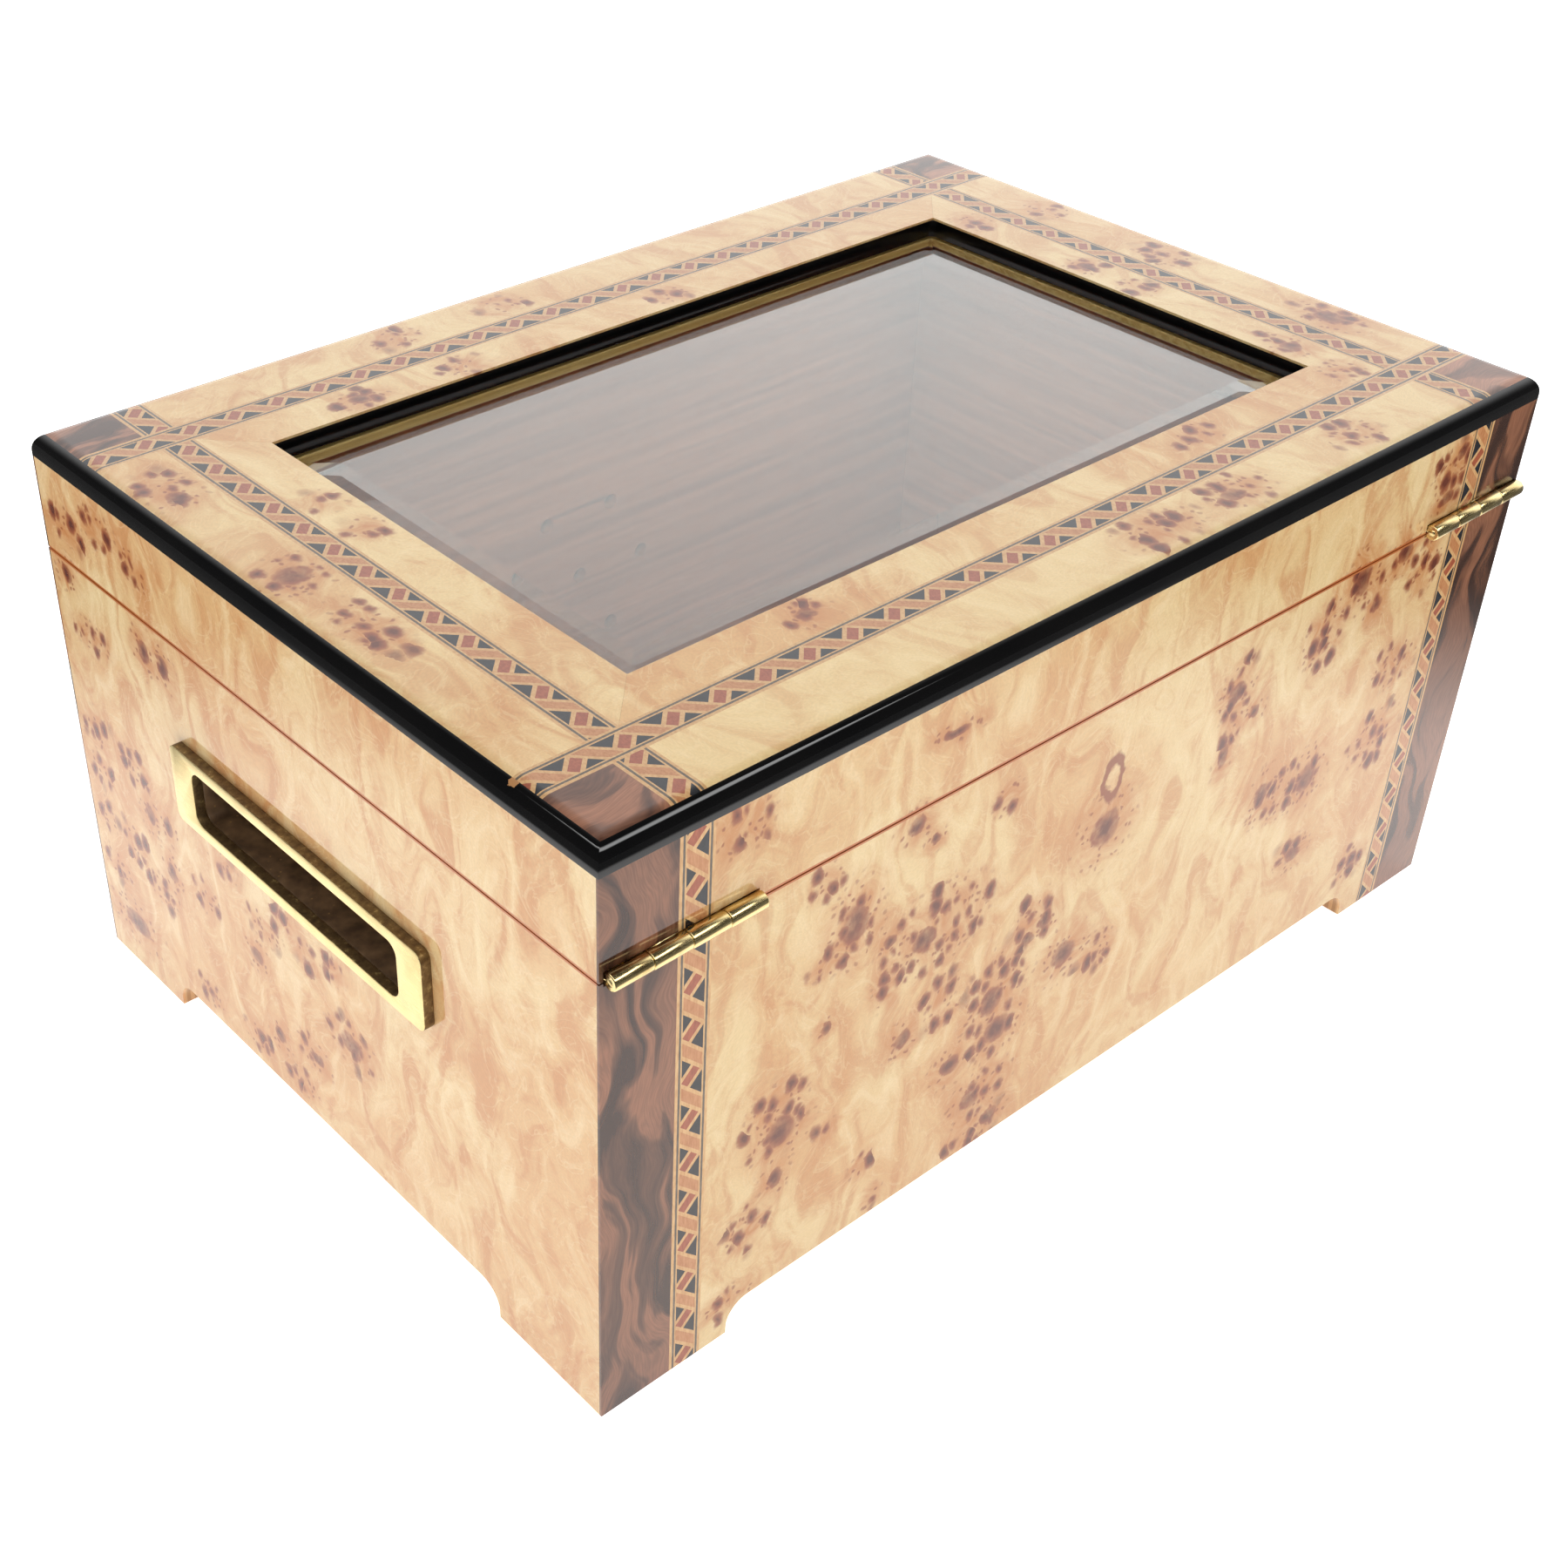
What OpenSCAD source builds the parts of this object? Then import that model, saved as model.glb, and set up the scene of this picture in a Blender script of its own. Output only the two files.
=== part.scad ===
// Glass-topped keepsake and cigar chest: burl-veneered case on bracket feet, a hinged lid with a
// bevelled pane, recessed side handles, a cedar lining and a round hygrometer in the front.
// Millimetres. X is the width, -Y the front, +Y the hinged back, Z up. The origin is the middle of
// the footprint, on the surface that the feet stand on.

/* [Case] */
// Width of the case, along the hinges
box_w = 380; // [340:1:460]
// Depth of the case, front to back
box_d = 263; // [240:1:320]
// Height of the closed chest over all
box_h = 193; // [180:1:230]
// Thickness of the case walls
wall_t = 15; // [14.5:0.5:17]
// Height of the lid
lid_h = 38; // [36:1:44]
// Gap between the lid and the rim of the case
lid_gap = 0.5; // [0.4:0.1:0.8]

/* [Feet] */
// Length of each bracket foot along the wall
foot_len = 45; // [42:1:60]
// Height of the arches between the feet
arch_h = 11.5; // [10:0.5:12]
// Radius of the arch corners
arch_r = 8; // [4:0.5:9]
// Thickness of the felt pads
pad_t = 1; // [0.8:0.2:2]

/* [Lining] */
// Thickness of the cedar boards in the case
lining_t = 5; // [4:0.5:6]
// How far the cedar boards stand above the rim
lip_h = 6; // [4:0.5:8]
// Thickness of the bottom panel
bottom_t = 6; // [4:0.5:8]
// Thickness of the cedar boards in the lid
lid_lining_t = 4; // [3:0.5:5]

/* [Lid top] */
// Width of the lid's frame, from the edge to the window
frame_w = 51; // [48:1:60]
// Width of the black edging, seen from above
edge_w = 3.4; // [3.4:0.2:5]
// Height of the black edging, seen from the side
edge_h = 7.6; // [7:0.2:9]
// Radius of the lid's rounded top edge
edge_r = 6; // [3:0.5:6]
// Thickness of the veneers and inlays
veneer_t = 0.8; // [0.6:0.1:1]
// Width of the walnut at each corner
corner_w = 24; // [18:1:28]
// Width of the marquetry bands
band_w = 11; // [8:0.5:12]

/* [Glass] */
// Thickness of the pane
glass_t = 5; // [4:0.5:6]
// Width of the bevel round the pane
bevel_w = 20; // [12:1:30]
// Height that the bevel loses at the pane's edge
bevel_drop = 2; // [1:0.5:2]
// How far the pane reaches into its seat
glass_seat = 6; // [4:0.5:8]
// Height of the black lip above the pane
lip_drop = 6; // [5:0.5:7]

/* [Handles] */
// Length of the brass frame
handle_len = 126; // [100:1:140]
// Height of the brass frame
handle_h = 27; // [24:1:32]
// Height of the handle's middle above the floor
handle_z = 107; // [95:1:115]
// How far the frame stands off the wall
handle_proud = 3.4; // [2:0.2:4]
// Width of the frame beside the grip
handle_side = 11.5; // [8:0.5:14]
// Width of the frame above and below the grip
handle_rail = 4; // [3:0.5:5]
// Depth of the cup behind the frame
cup_depth = 13; // [9:0.5:13]

/* [Hinges] */
// Length of each hinge
hinge_len = 48; // [40:1:60]
// Distance from the case's side to the hinge
hinge_inset = 1.6; // [1:0.2:10]
// Radius of the barrel
barrel_r = 2.5; // [2.2:0.1:2.8]
// Distance from the back wall's face to the pin
hinge_out = 1.7; // [1.5:0.1:2.2]
// Thickness of each leaf
leaf_t = 1.2; // [1:0.1:1.4]
// Depth of each leaf over the rim
leaf_w = 12; // [10:0.5:13]

/* [Hygrometer] */
// Radius of the brass bezel
bezel_r = 38; // [37:0.5:42]
// Radius of the hole in the front wall
gauge_r = 34; // [33:0.5:35]
// Height of the hygrometer's middle above the floor
gauge_z = 80; // [75:1:90]
// Distance between neighbouring vent holes
vent_pitch = 29; // [24:1:29]
// Radius of the vent holes
vent_r = 2.6; // [2:0.1:3]

/* [Hidden] */
$fn = 64;

FRONT = 0;
RIGHT = 1;
BACK = 2;
LEFT = 3;
eps = 0.01;
glue_line = 0.02;
burl = [0.93, 0.78, 0.56];
walnut = [0.33, 0.21, 0.15];
cedar = [0.55, 0.33, 0.22];
ebony = [0.06, 0.06, 0.07];
brass = [0.83, 0.69, 0.36];
marquetry = [0.75, 0.5, 0.36];

// Heights of the case and lid
lid_z = box_h - lid_h;
rim_z = lid_z - lid_gap;
edging_z = box_h - edge_h;
board_top = box_h - veneer_t;
pane_top = board_top - lip_drop + bevel_drop * (1 - glass_seat / bevel_w) - 0.1;
pane_z = pane_top - glass_t;
bead_h = 5;
board_z = pane_z - bead_h;

// The case inside its walls
panel_groove = 5;
panel_z = arch_h + 1.5;
floor_z = panel_z + bottom_t;
lining_z = floor_z + lining_t;
inner_w = box_w - 2 * wall_t;
inner_d = box_d - 2 * wall_t;
// The lid's sides are thinner than the walls, so that they pass the cedar lip
lid_side_t = wall_t - 0.5;
lid_in_w = box_w - 2 * lid_side_t;
lid_in_d = box_d - 2 * lid_side_t;
lid_lining_z = rim_z + lip_h + 0.5;

// The window and the pattern on the lid
win_w = box_w - 2 * frame_w;
win_d = box_d - 2 * frame_w;
win_r = 2.5;
top_w = box_w - 2 * edge_w;
top_d = box_d - 2 * edge_w;
band_out = corner_w;
band_in = corner_w + band_w;

// Handle and cup
grip_len = handle_len - 2 * handle_side;
grip_h = handle_h - 2 * handle_rail;
grip_r = 4;
cup_t = 1.2;
fit = 0.1;

// Hinge: the pin lies behind the back face, level with the joint between the two leaves
pin_r = 1.2;
pin_clear = 0.05;
knuckle_gap = 0.2;
knuckles = 4;
knuckle_len = hinge_len / knuckles;
hinge_clear = 0.3;
hinge_x = box_w / 2 - hinge_inset - hinge_len;
hinge_y = box_d / 2 + hinge_out;
hinge_z = rim_z + leaf_t;
screw_y = box_d / 2 - 7;
screw_len = 10;
screw_r = 1.1;
screw_head_r = 2.3;

// Hygrometer: heights are measured outwards from the front wall's face
gauge_depth = wall_t - 1;
gauge_proud = hinge_out + barrel_r;
case_rim = 0.9;
lens_t = 1.8;
dial_seat = -2;
dial_t = 0.6;
dial_r = gauge_r - 1.5;
arbor_r = 0.8;

// ---- helpers ----

// Length of a side of the case, and the distance of its face from the middle
function side_len(k) = k % 2 == 0 ? box_w : box_d;
function side_off(k) = k % 2 == 0 ? box_d / 2 : box_w / 2;

// Draws on the face of a side: x along it, y up, z outwards from the face
module on_side(k) {
    rotate([0, 0, 90 * k])
        translate([0, -side_off(k), 0])
            rotate([90, 0, 0])
                children();
}

// One mitred side of a rectangular frame, w by d outside and t thick; glue is the gap it leaves at
// each mitre
module frame_side(k, w, d, t, z0, h, glue = 0) {
    len = (k % 2 == 0 ? w : d) - 2 * glue;
    off = k % 2 == 0 ? d / 2 : w / 2;
    rotate([0, 0, 90 * k])
        translate([0, -off, z0])
            linear_extrude(h)
                polygon([[-len / 2, 0], [len / 2, 0], [len / 2 - t, t], [t - len / 2, t]]);
}

// A block centred on the vertical axis
module block(w, d, z0, h) {
    translate([-w / 2, -d / 2, z0])
        cube([w, d, h]);
}

module round_rect(l, h, r) {
    square([l - 2 * r, h], center = true);
    square([l, h - 2 * r], center = true);
    for (x = [-1, 1], y = [-1, 1])
        translate([x * (l / 2 - r), y * (h / 2 - r)])
            circle(r);
}

// Four copies, one in each corner, of a shape drawn in the corner at +X, +Y
module four_corners() {
    for (x = [0, 1], y = [0, 1])
        mirror([x, 0, 0])
            mirror([0, y, 0])
                children();
}

// ---- the case ----

// Opening between two feet, drawn in elevation
module arch(k) {
    half = side_len(k) / 2 - foot_len;
    translate([-half, -eps])
        square([2 * half, arch_h - arch_r + eps]);
    translate([arch_r - half, -eps])
        square([2 * (half - arch_r), arch_h + eps]);
    for (x = [-1, 1])
        translate([x * (half - arch_r), arch_h - arch_r])
            circle(arch_r);
}

// Walnut strips and marquetry bands let into the front and back faces
module face_inlays(x0, x1, z0, h) {
    four_corners()
        translate([x0, box_d / 2 - veneer_t, z0])
            cube([x1 - x0, veneer_t, h]);
}

module panel_shape() {
    block(inner_w + 2 * panel_groove, inner_d + 2 * panel_groove, panel_z, bottom_t);
}

module cup_pocket() {
    translate([0, handle_z, -cup_depth])
        linear_extrude(cup_depth + 1)
            round_rect(grip_len + 2 * cup_t + 2 * fit, grip_h + 2 * cup_t + 2 * fit,
                grip_r + cup_t + fit);
}

module wall(k) {
    color(burl)
        difference() {
            frame_side(k, box_w, box_d, wall_t, pad_t, rim_z - pad_t);
            panel_shape();
            face_inlays(box_w / 2 - band_in, box_w / 2 + 1, pad_t - 1, rim_z + 2);
            on_side(k)
                translate([0, 0, -wall_t - 1])
                    linear_extrude(wall_t + 2)
                        arch(k);
            if (k == LEFT || k == RIGHT)
                on_side(k)
                    cup_pocket();
            if (k == FRONT)
                on_side(FRONT)
                    translate([0, gauge_z, -wall_t - 1])
                        cylinder(r = gauge_r, h = wall_t + 2);
            if (k != FRONT) {
                both_hinges()
                    barrel_groove();
                both_hinges()
                    screw_pilots(-1);
            }
        }
}

module front_wall() { wall(FRONT); }
module right_wall() { wall(RIGHT); }
module back_wall() { wall(BACK); }
module left_wall() { wall(LEFT); }

module bottom_panel() {
    color([0.62, 0.47, 0.33])
        panel_shape();
}

// Two felt strips under each bracket foot, one along each wall
module foot_pads() {
    inset = 1;
    x = box_w / 2 - inset;
    y = box_d / 2 - inset;
    t = wall_t - 2 * inset;
    l = foot_len - 2 * inset;
    color([0.12, 0.11, 0.11])
        four_corners() {
            translate([x - l, y - t, 0])
                cube([l, t, pad_t]);
            translate([x - t, y - l, 0])
                cube([t, l - t - glue_line, pad_t]);
        }
}

module floor_lining() {
    color(cedar)
        block(inner_w, inner_d, floor_z, lining_t);
}

// A cedar board against a wall; the side boards fit between the long ones
module lining_board(k) {
    len = k % 2 == 0 ? inner_w : inner_d - 2 * lining_t;
    color(cedar)
        difference() {
            on_side(k)
                translate([-len / 2, lining_z, -wall_t - lining_t])
                    cube([len, rim_z + lip_h - lining_z, lining_t]);
            if (k == FRONT)
                vent_holes(vent_pitch);
        }
}

module vent_holes(pitch) {
    on_side(FRONT)
        translate([0, gauge_z, -wall_t - lining_t - 1]) {
            cylinder(r = vent_r, h = lining_t + 2);
            for (a = [0 : 60 : 300])
                rotate([0, 0, a])
                    translate([pitch, 0, 0])
                        cylinder(r = vent_r, h = lining_t + 2);
        }
}

module front_lining() { lining_board(FRONT); }
module right_lining() { lining_board(RIGHT); }
module back_lining() { lining_board(BACK); }
module left_lining() { lining_board(LEFT); }

module case_corner_strips() {
    color(walnut)
        difference() {
            face_inlays(box_w / 2 - corner_w, box_w / 2, pad_t, rim_z - pad_t);
            both_hinges()
                barrel_groove();
        }
}

module case_inlay_bands() {
    color(marquetry)
        difference() {
            face_inlays(box_w / 2 - band_in, box_w / 2 - corner_w, pad_t, rim_z - pad_t);
            both_hinges()
                barrel_groove();
        }
}

// ---- the lid ----

module lid_side(k) {
    color(burl)
        difference() {
            frame_side(k, box_w, box_d, lid_side_t, lid_z, edging_z - lid_z);
            face_inlays(box_w / 2 - band_in, box_w / 2 + 1, lid_z - 1, box_h);
            if (k != FRONT) {
                both_hinges()
                    leaf_mortise();
                both_hinges()
                    barrel_groove();
                both_hinges()
                    screw_pilots(1);
            }
        }
}

module lid_front_side() { lid_side(FRONT); }
module lid_right_side() { lid_side(RIGHT); }
module lid_back_side() { lid_side(BACK); }
module lid_left_side() { lid_side(LEFT); }

module window(grow) {
    translate([0, 0, lid_z])
        linear_extrude(lid_h + 1)
            round_rect(win_w + 2 * grow, win_d + 2 * grow, win_r + grow);
}

// A rail of the lid's top: its foot fits between the sides, its shoulder lies on them
module lid_rail(k) {
    lip_t = 1.5;
    color([0.8, 0.62, 0.42])
        difference() {
            union() {
                frame_side(k, lid_in_w, lid_in_d, frame_w - lid_side_t, board_z, edging_z - board_z);
                frame_side(k, top_w, top_d, frame_w - edge_w, edging_z, board_top - edging_z);
            }
            window(lip_t);
            block(win_w + 2 * glass_seat, win_d + 2 * glass_seat, board_z - 1,
                board_top - lip_drop - board_z + 1);
        }
}

module lid_front_rail() { lid_rail(FRONT); }
module lid_right_rail() { lid_rail(RIGHT); }
module lid_back_rail() { lid_rail(BACK); }
module lid_left_rail() { lid_rail(LEFT); }

module lid_corner_strips() {
    color(walnut)
        difference() {
            face_inlays(box_w / 2 - corner_w, box_w / 2, lid_z, edging_z - lid_z);
            both_hinges()
                leaf_mortise();
            both_hinges()
                barrel_groove();
        }
}

module lid_side_bands() {
    color(marquetry)
        difference() {
            face_inlays(box_w / 2 - band_in, box_w / 2 - corner_w, lid_z, edging_z - lid_z);
            both_hinges()
                leaf_mortise();
            both_hinges()
                barrel_groove();
        }
}

module lid_lining() {
    h = board_z - lid_lining_z;
    color(cedar)
        for (k = [FRONT : LEFT])
            frame_side(k, lid_in_w, lid_in_d, lid_lining_t, lid_lining_z, h, glue_line);
}

// Cuts the lid's top to its rounded edge
module crowned() {
    h = 4 * edge_r;
    intersection() {
        children();
        translate([-box_w / 2, 0, box_h - h / 2])
            rotate([90, 0, 90])
                linear_extrude(box_w)
                    round_rect(box_d, h, edge_r);
        translate([0, box_d / 2, box_h - h / 2])
            rotate([90, 0, 0])
                linear_extrude(box_d)
                    round_rect(box_w, h, edge_r);
    }
}

// Ebonised edging, rounded over with the veneer
module lid_edging() {
    color(ebony)
        for (k = [FRONT : LEFT])
            crowned()
                frame_side(k, box_w, box_d, edge_w, edging_z, edge_h, glue_line);
}

// Patches of the top veneer, from one corner to the opposite one
module top_patch(x0, x1, y0, y1) {
    translate([x0, y0, board_top])
        cube([x1 - x0, y1 - y0, veneer_t]);
}

module lid_outer_veneers() {
    x = box_w / 2;
    y = box_d / 2;
    color(burl)
        crowned()
            for (s = [0, 1]) {
                mirror([0, s, 0])
                    top_patch(band_in - x, x - band_in, y - band_out, y - edge_w);
                mirror([s, 0, 0])
                    top_patch(x - band_out, x - edge_w, band_in - y, y - band_in);
            }
}

module lid_corner_squares() {
    x = box_w / 2;
    y = box_d / 2;
    color(walnut)
        crowned()
            four_corners()
                top_patch(x - band_out, x - edge_w, y - band_out, y - edge_w);
}

module lid_long_bands() {
    y = box_d / 2;
    color(marquetry)
        crowned()
            for (s = [0, 1])
                mirror([0, s, 0])
                    top_patch(-top_w / 2, top_w / 2, y - band_in, y - band_out);
}

// The short bands stop at the long ones and go on beyond them to the edging
module lid_short_bands() {
    x = box_w / 2;
    y = box_d / 2;
    color(marquetry)
        crowned()
            for (s = [0, 1])
                mirror([s, 0, 0]) {
                    top_patch(x - band_in, x - band_out, band_in - y, y - band_in);
                    for (t = [0, 1])
                        mirror([0, t, 0])
                            top_patch(x - band_in, x - band_out, y - band_out, y - edge_w);
                }
}

module lid_inner_veneers() {
    color(burl)
        for (k = [FRONT : LEFT])
            difference() {
                frame_side(k, box_w - 2 * band_in, box_d - 2 * band_in, frame_w - band_in,
                    board_top, veneer_t, glue_line);
                window(0);
            }
}

// Black lip round the window, under the edge of the veneer
module window_lip() {
    color(ebony)
        difference() {
            translate([0, 0, board_top - lip_drop])
                linear_extrude(lip_drop)
                    round_rect(win_w + 3, win_d + 3, win_r + 1.5);
            window(0);
        }
}

// Section of the pane, with its bevels, over a width of w
module pane_section(w) {
    polygon([[-w / 2, 0], [w / 2, 0], [w / 2, glass_t - bevel_drop], [w / 2 - bevel_w, glass_t],
        [bevel_w - w / 2, glass_t], [-w / 2, glass_t - bevel_drop]]);
}

module glass_pane() {
    w = win_w + 2 * glass_seat - 0.6;
    d = win_d + 2 * glass_seat - 0.6;
    color([0.75, 0.82, 0.82, 0.4])
        translate([0, 0, pane_z])
            intersection() {
                translate([0, d / 2, 0])
                    rotate([90, 0, 0])
                        linear_extrude(d)
                            pane_section(w);
                translate([-w / 2, 0, 0])
                    rotate([90, 0, 90])
                        linear_extrude(w)
                            pane_section(d);
            }
}

module glazing_beads() {
    color([0.72, 0.52, 0.27])
        for (k = [FRONT : LEFT])
            frame_side(k, win_w + 2 * glass_seat, win_d + 2 * glass_seat, glass_seat, board_z, bead_h,
                glue_line);
}

// ---- the handles ----

module handle_frame(k) {
    color(brass)
        on_side(k)
            translate([0, handle_z, 0])
                linear_extrude(handle_proud)
                    difference() {
                        round_rect(handle_len, handle_h, 3);
                        round_rect(grip_len, grip_h, grip_r);
                    }
}

module handle_cup(k) {
    color([0.2, 0.15, 0.11])
        on_side(k)
            translate([0, handle_z, -cup_depth])
                difference() {
                    linear_extrude(cup_depth)
                        round_rect(grip_len + 2 * cup_t, grip_h + 2 * cup_t, grip_r + cup_t);
                    translate([0, 0, cup_t])
                        linear_extrude(cup_depth)
                            round_rect(grip_len, grip_h, grip_r);
                }
}

module right_handle_frame() { handle_frame(RIGHT); }
module right_handle_cup() { handle_cup(RIGHT); }
module left_handle_frame() { handle_frame(LEFT); }
module left_handle_cup() { handle_cup(LEFT); }

// ---- the hinges, drawn at the right and mirrored to the left ----

module both_hinges() {
    for (s = [0, 1])
        mirror([s, 0, 0])
            children();
}

// A rod along the hinge's axis, from a to b along its length
module axis_rod(r, a, b) {
    translate([hinge_x + a, hinge_y, hinge_z])
        rotate([0, 90, 0])
            cylinder(r = r, h = b - a);
}

// Every second knuckle, from the first; a positive grow makes room for them
module knuckle_set(first, r, grow) {
    for (i = [first : 2 : knuckles - 1])
        axis_rod(r, i * knuckle_len + knuckle_gap / 2 - grow,
            (i + 1) * knuckle_len - knuckle_gap / 2 + grow);
}

// The groove that takes the barrel, in the edges of the back wall and the lid
module barrel_groove() {
    axis_rod(barrel_r + hinge_clear, -hinge_clear, hinge_len + hinge_clear);
}

// Both leaves lie in the lid's side, over the rim
module leaf_mortise() {
    translate([hinge_x - hinge_clear, box_d / 2 - leaf_w - hinge_clear, lid_z - 1])
        cube([hinge_len + 2 * hinge_clear, leaf_w + hinge_clear + 1, hinge_z + leaf_t - lid_z + 1]);
}

module at_screws() {
    for (i = [-1 : 1])
        translate([hinge_x + hinge_len / 2 + i * hinge_len / 3, screw_y, hinge_z])
            children();
}

// dir is -1 for the screws that go down into the wall, and 1 for those that go up into the lid
module screw_pilots(dir) {
    at_screws()
        scale_z(dir)
            cylinder(r = screw_r + 0.05, h = screw_len + 0.5);
}

module scale_z(dir) {
    mirror([0, 0, dir < 0 ? 1 : 0])
        children();
}

module countersink(grow) {
    cylinder(r1 = screw_head_r + grow, r2 = screw_r + grow, h = leaf_t);
}

module leaf(dir) {
    first = dir < 0 ? 1 : 0;
    z0 = dir < 0 ? hinge_z - leaf_t : hinge_z;
    color(brass)
        difference() {
            union() {
                difference() {
                    translate([hinge_x, box_d / 2 - leaf_w, z0])
                        cube([hinge_len, leaf_w + hinge_out, leaf_t]);
                    knuckle_set(1 - first, barrel_r + hinge_clear, knuckle_gap);
                }
                knuckle_set(first, barrel_r, 0);
            }
            axis_rod(pin_r + (dir < 0 ? 0 : pin_clear), -1, hinge_len + 1);
            at_screws()
                scale_z(dir)
                    countersink(0.02);
        }
}

module hinge_pin() {
    color([0.72, 0.58, 0.28])
        axis_rod(pin_r, 0.1, hinge_len - 0.1);
}

module screw_group(dir) {
    slot_w = 0.6;
    slot_depth = 0.5;
    head_sink = 0.05;
    color(brass)
        both_hinges()
            at_screws()
                scale_z(dir)
                    difference() {
                        union() {
                            translate([0, 0, head_sink])
                                cylinder(r1 = screw_head_r - 0.06, r2 = screw_r, h = leaf_t - head_sink);
                            translate([0, 0, leaf_t - eps])
                                cylinder(r = screw_r, h = screw_len - leaf_t);
                        }
                        translate([-screw_head_r, -slot_w / 2, -eps])
                            cube([2 * screw_head_r, slot_w, slot_depth]);
                    }
}

module right_hinge_case_leaf() { leaf(-1); }
module right_hinge_lid_leaf() { leaf(1); }
module right_hinge_pin() { hinge_pin(); }
module left_hinge_case_leaf() { mirror([1, 0, 0]) leaf(-1); }
module left_hinge_lid_leaf() { mirror([1, 0, 0]) leaf(1); }
module left_hinge_pin() { mirror([1, 0, 0]) hinge_pin(); }
module hinge_case_screws() { screw_group(-1); }
module hinge_lid_screws() { screw_group(1); }

// ---- the hygrometer, drawn with z outwards from the front wall's face ----

module at_gauge() {
    on_side(FRONT)
        translate([0, gauge_z, 0])
            children();
}

module hygrometer_case() {
    r = gauge_r - fit;
    ledge_r = dial_r - 1.4;
    color([0.35, 0.3, 0.24])
        at_gauge()
            difference() {
                translate([0, 0, -gauge_depth])
                    cylinder(r = r, h = gauge_depth + case_rim);
                translate([0, 0, dial_seat])
                    cylinder(r = dial_r + fit, h = 5);
                difference() {
                    translate([0, 0, 1.2 - gauge_depth])
                        cylinder(r = ledge_r, h = gauge_depth);
                    translate([0, 0, -gauge_depth])
                        cylinder(r = 3, h = 3);
                }
                translate([0, 0, 1 - gauge_depth])
                    cylinder(r = arbor_r + pin_clear, h = gauge_depth);
                for (a = [0 : 60 : 300])
                    rotate([0, 0, a])
                        translate([18, 0, -gauge_depth - 1])
                            cylinder(r = vent_r, h = 4);
            }
}

module hygrometer_dial() {
    color([0.93, 0.9, 0.82])
        at_gauge()
            translate([0, 0, dial_seat])
                difference() {
                    cylinder(r = dial_r, h = dial_t);
                    translate([0, 0, -1])
                        cylinder(r = arbor_r + 0.4, h = 3);
                }
}

// Arbor, hub and needle, which points straight up at rest
module hygrometer_pointer() {
    needle_z = dial_seat + dial_t + 0.6;
    needle_t = 0.4;
    color(ebony)
        at_gauge() {
            translate([0, 0, 1.1 - gauge_depth])
                cylinder(r = arbor_r, h = gauge_depth - 1.1 + 0.3);
            translate([0, 0, needle_z - 0.2])
                cylinder(r = 2.4, h = needle_t + 0.4);
            translate([0, 0, needle_z])
                linear_extrude(needle_t)
                    polygon([[-0.8, -9], [0.8, -9], [1.2, 0], [0.2, 25], [-0.2, 25], [-1.2, 0]]);
        }
}

// Moisture coil: a thin ribbon wound out from the arbor in an even spiral
module hygrometer_coil() {
    turns = 4;
    steps = 18;
    ribbon = 0.25;
    pitch = 2.2;
    function radius(i) = arbor_r + ribbon / 2 + pitch * i / steps;
    function point(i, side) = (radius(i) + side * ribbon / 2) * [cos(360 * i / steps), sin(360 * i / steps)];
    color([0.7, 0.45, 0.25])
        at_gauge()
            translate([0, 0, 5 - gauge_depth])
                linear_extrude(4)
                    difference() {
                        polygon(concat([for (i = [0 : turns * steps]) point(i, 1)],
                            [for (i = [turns * steps : -1 : 0]) point(i, -1)]));
                        circle(arbor_r);
                    }
}

module hygrometer_lens() {
    color([0.8, 0.86, 0.86, 0.4])
        at_gauge()
            translate([0, 0, case_rim])
                cylinder(r = gauge_r - 0.3, h = lens_t);
}

module hygrometer_bezel() {
    lens_top = case_rim + lens_t;
    outer_round = 2;
    color(brass)
        at_gauge()
            rotate_extrude($fn = 96)
                difference() {
                    union() {
                        translate([gauge_r - 3, 0])
                            square([bezel_r - gauge_r + 3, gauge_proud - outer_round]);
                        translate([gauge_r - 3, 0])
                            square([bezel_r - gauge_r + 3 - outer_round, gauge_proud]);
                        translate([bezel_r - outer_round, gauge_proud - outer_round])
                            circle(outer_round);
                    }
                    translate([0, -1])
                        square([gauge_r, lens_top + 1]);
                }
}

// ---- the parts ----

front_wall();
right_wall();
back_wall();
left_wall();
bottom_panel();
foot_pads();
floor_lining();
front_lining();
right_lining();
back_lining();
left_lining();
case_corner_strips();
case_inlay_bands();
lid_front_side();
lid_right_side();
lid_back_side();
lid_left_side();
lid_front_rail();
lid_right_rail();
lid_back_rail();
lid_left_rail();
lid_corner_strips();
lid_side_bands();
lid_lining();
lid_edging();
lid_outer_veneers();
lid_corner_squares();
lid_long_bands();
lid_short_bands();
lid_inner_veneers();
window_lip();
glass_pane();
glazing_beads();
right_handle_frame();
right_handle_cup();
left_handle_frame();
left_handle_cup();
right_hinge_case_leaf();
right_hinge_lid_leaf();
right_hinge_pin();
left_hinge_case_leaf();
left_hinge_lid_leaf();
left_hinge_pin();
hinge_case_screws();
hinge_lid_screws();
hygrometer_case();
hygrometer_dial();
hygrometer_pointer();
hygrometer_coil();
hygrometer_lens();
hygrometer_bezel();
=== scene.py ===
"""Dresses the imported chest: burl, walnut and marquetry under gloss lacquer, with glass, brass and cedar."""
import math
from functools import partial

import bmesh
import bpy
from bpy.props import FloatProperty, FloatVectorProperty, IntProperty, PointerProperty
from mathutils import Matrix, Vector, noise


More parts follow.
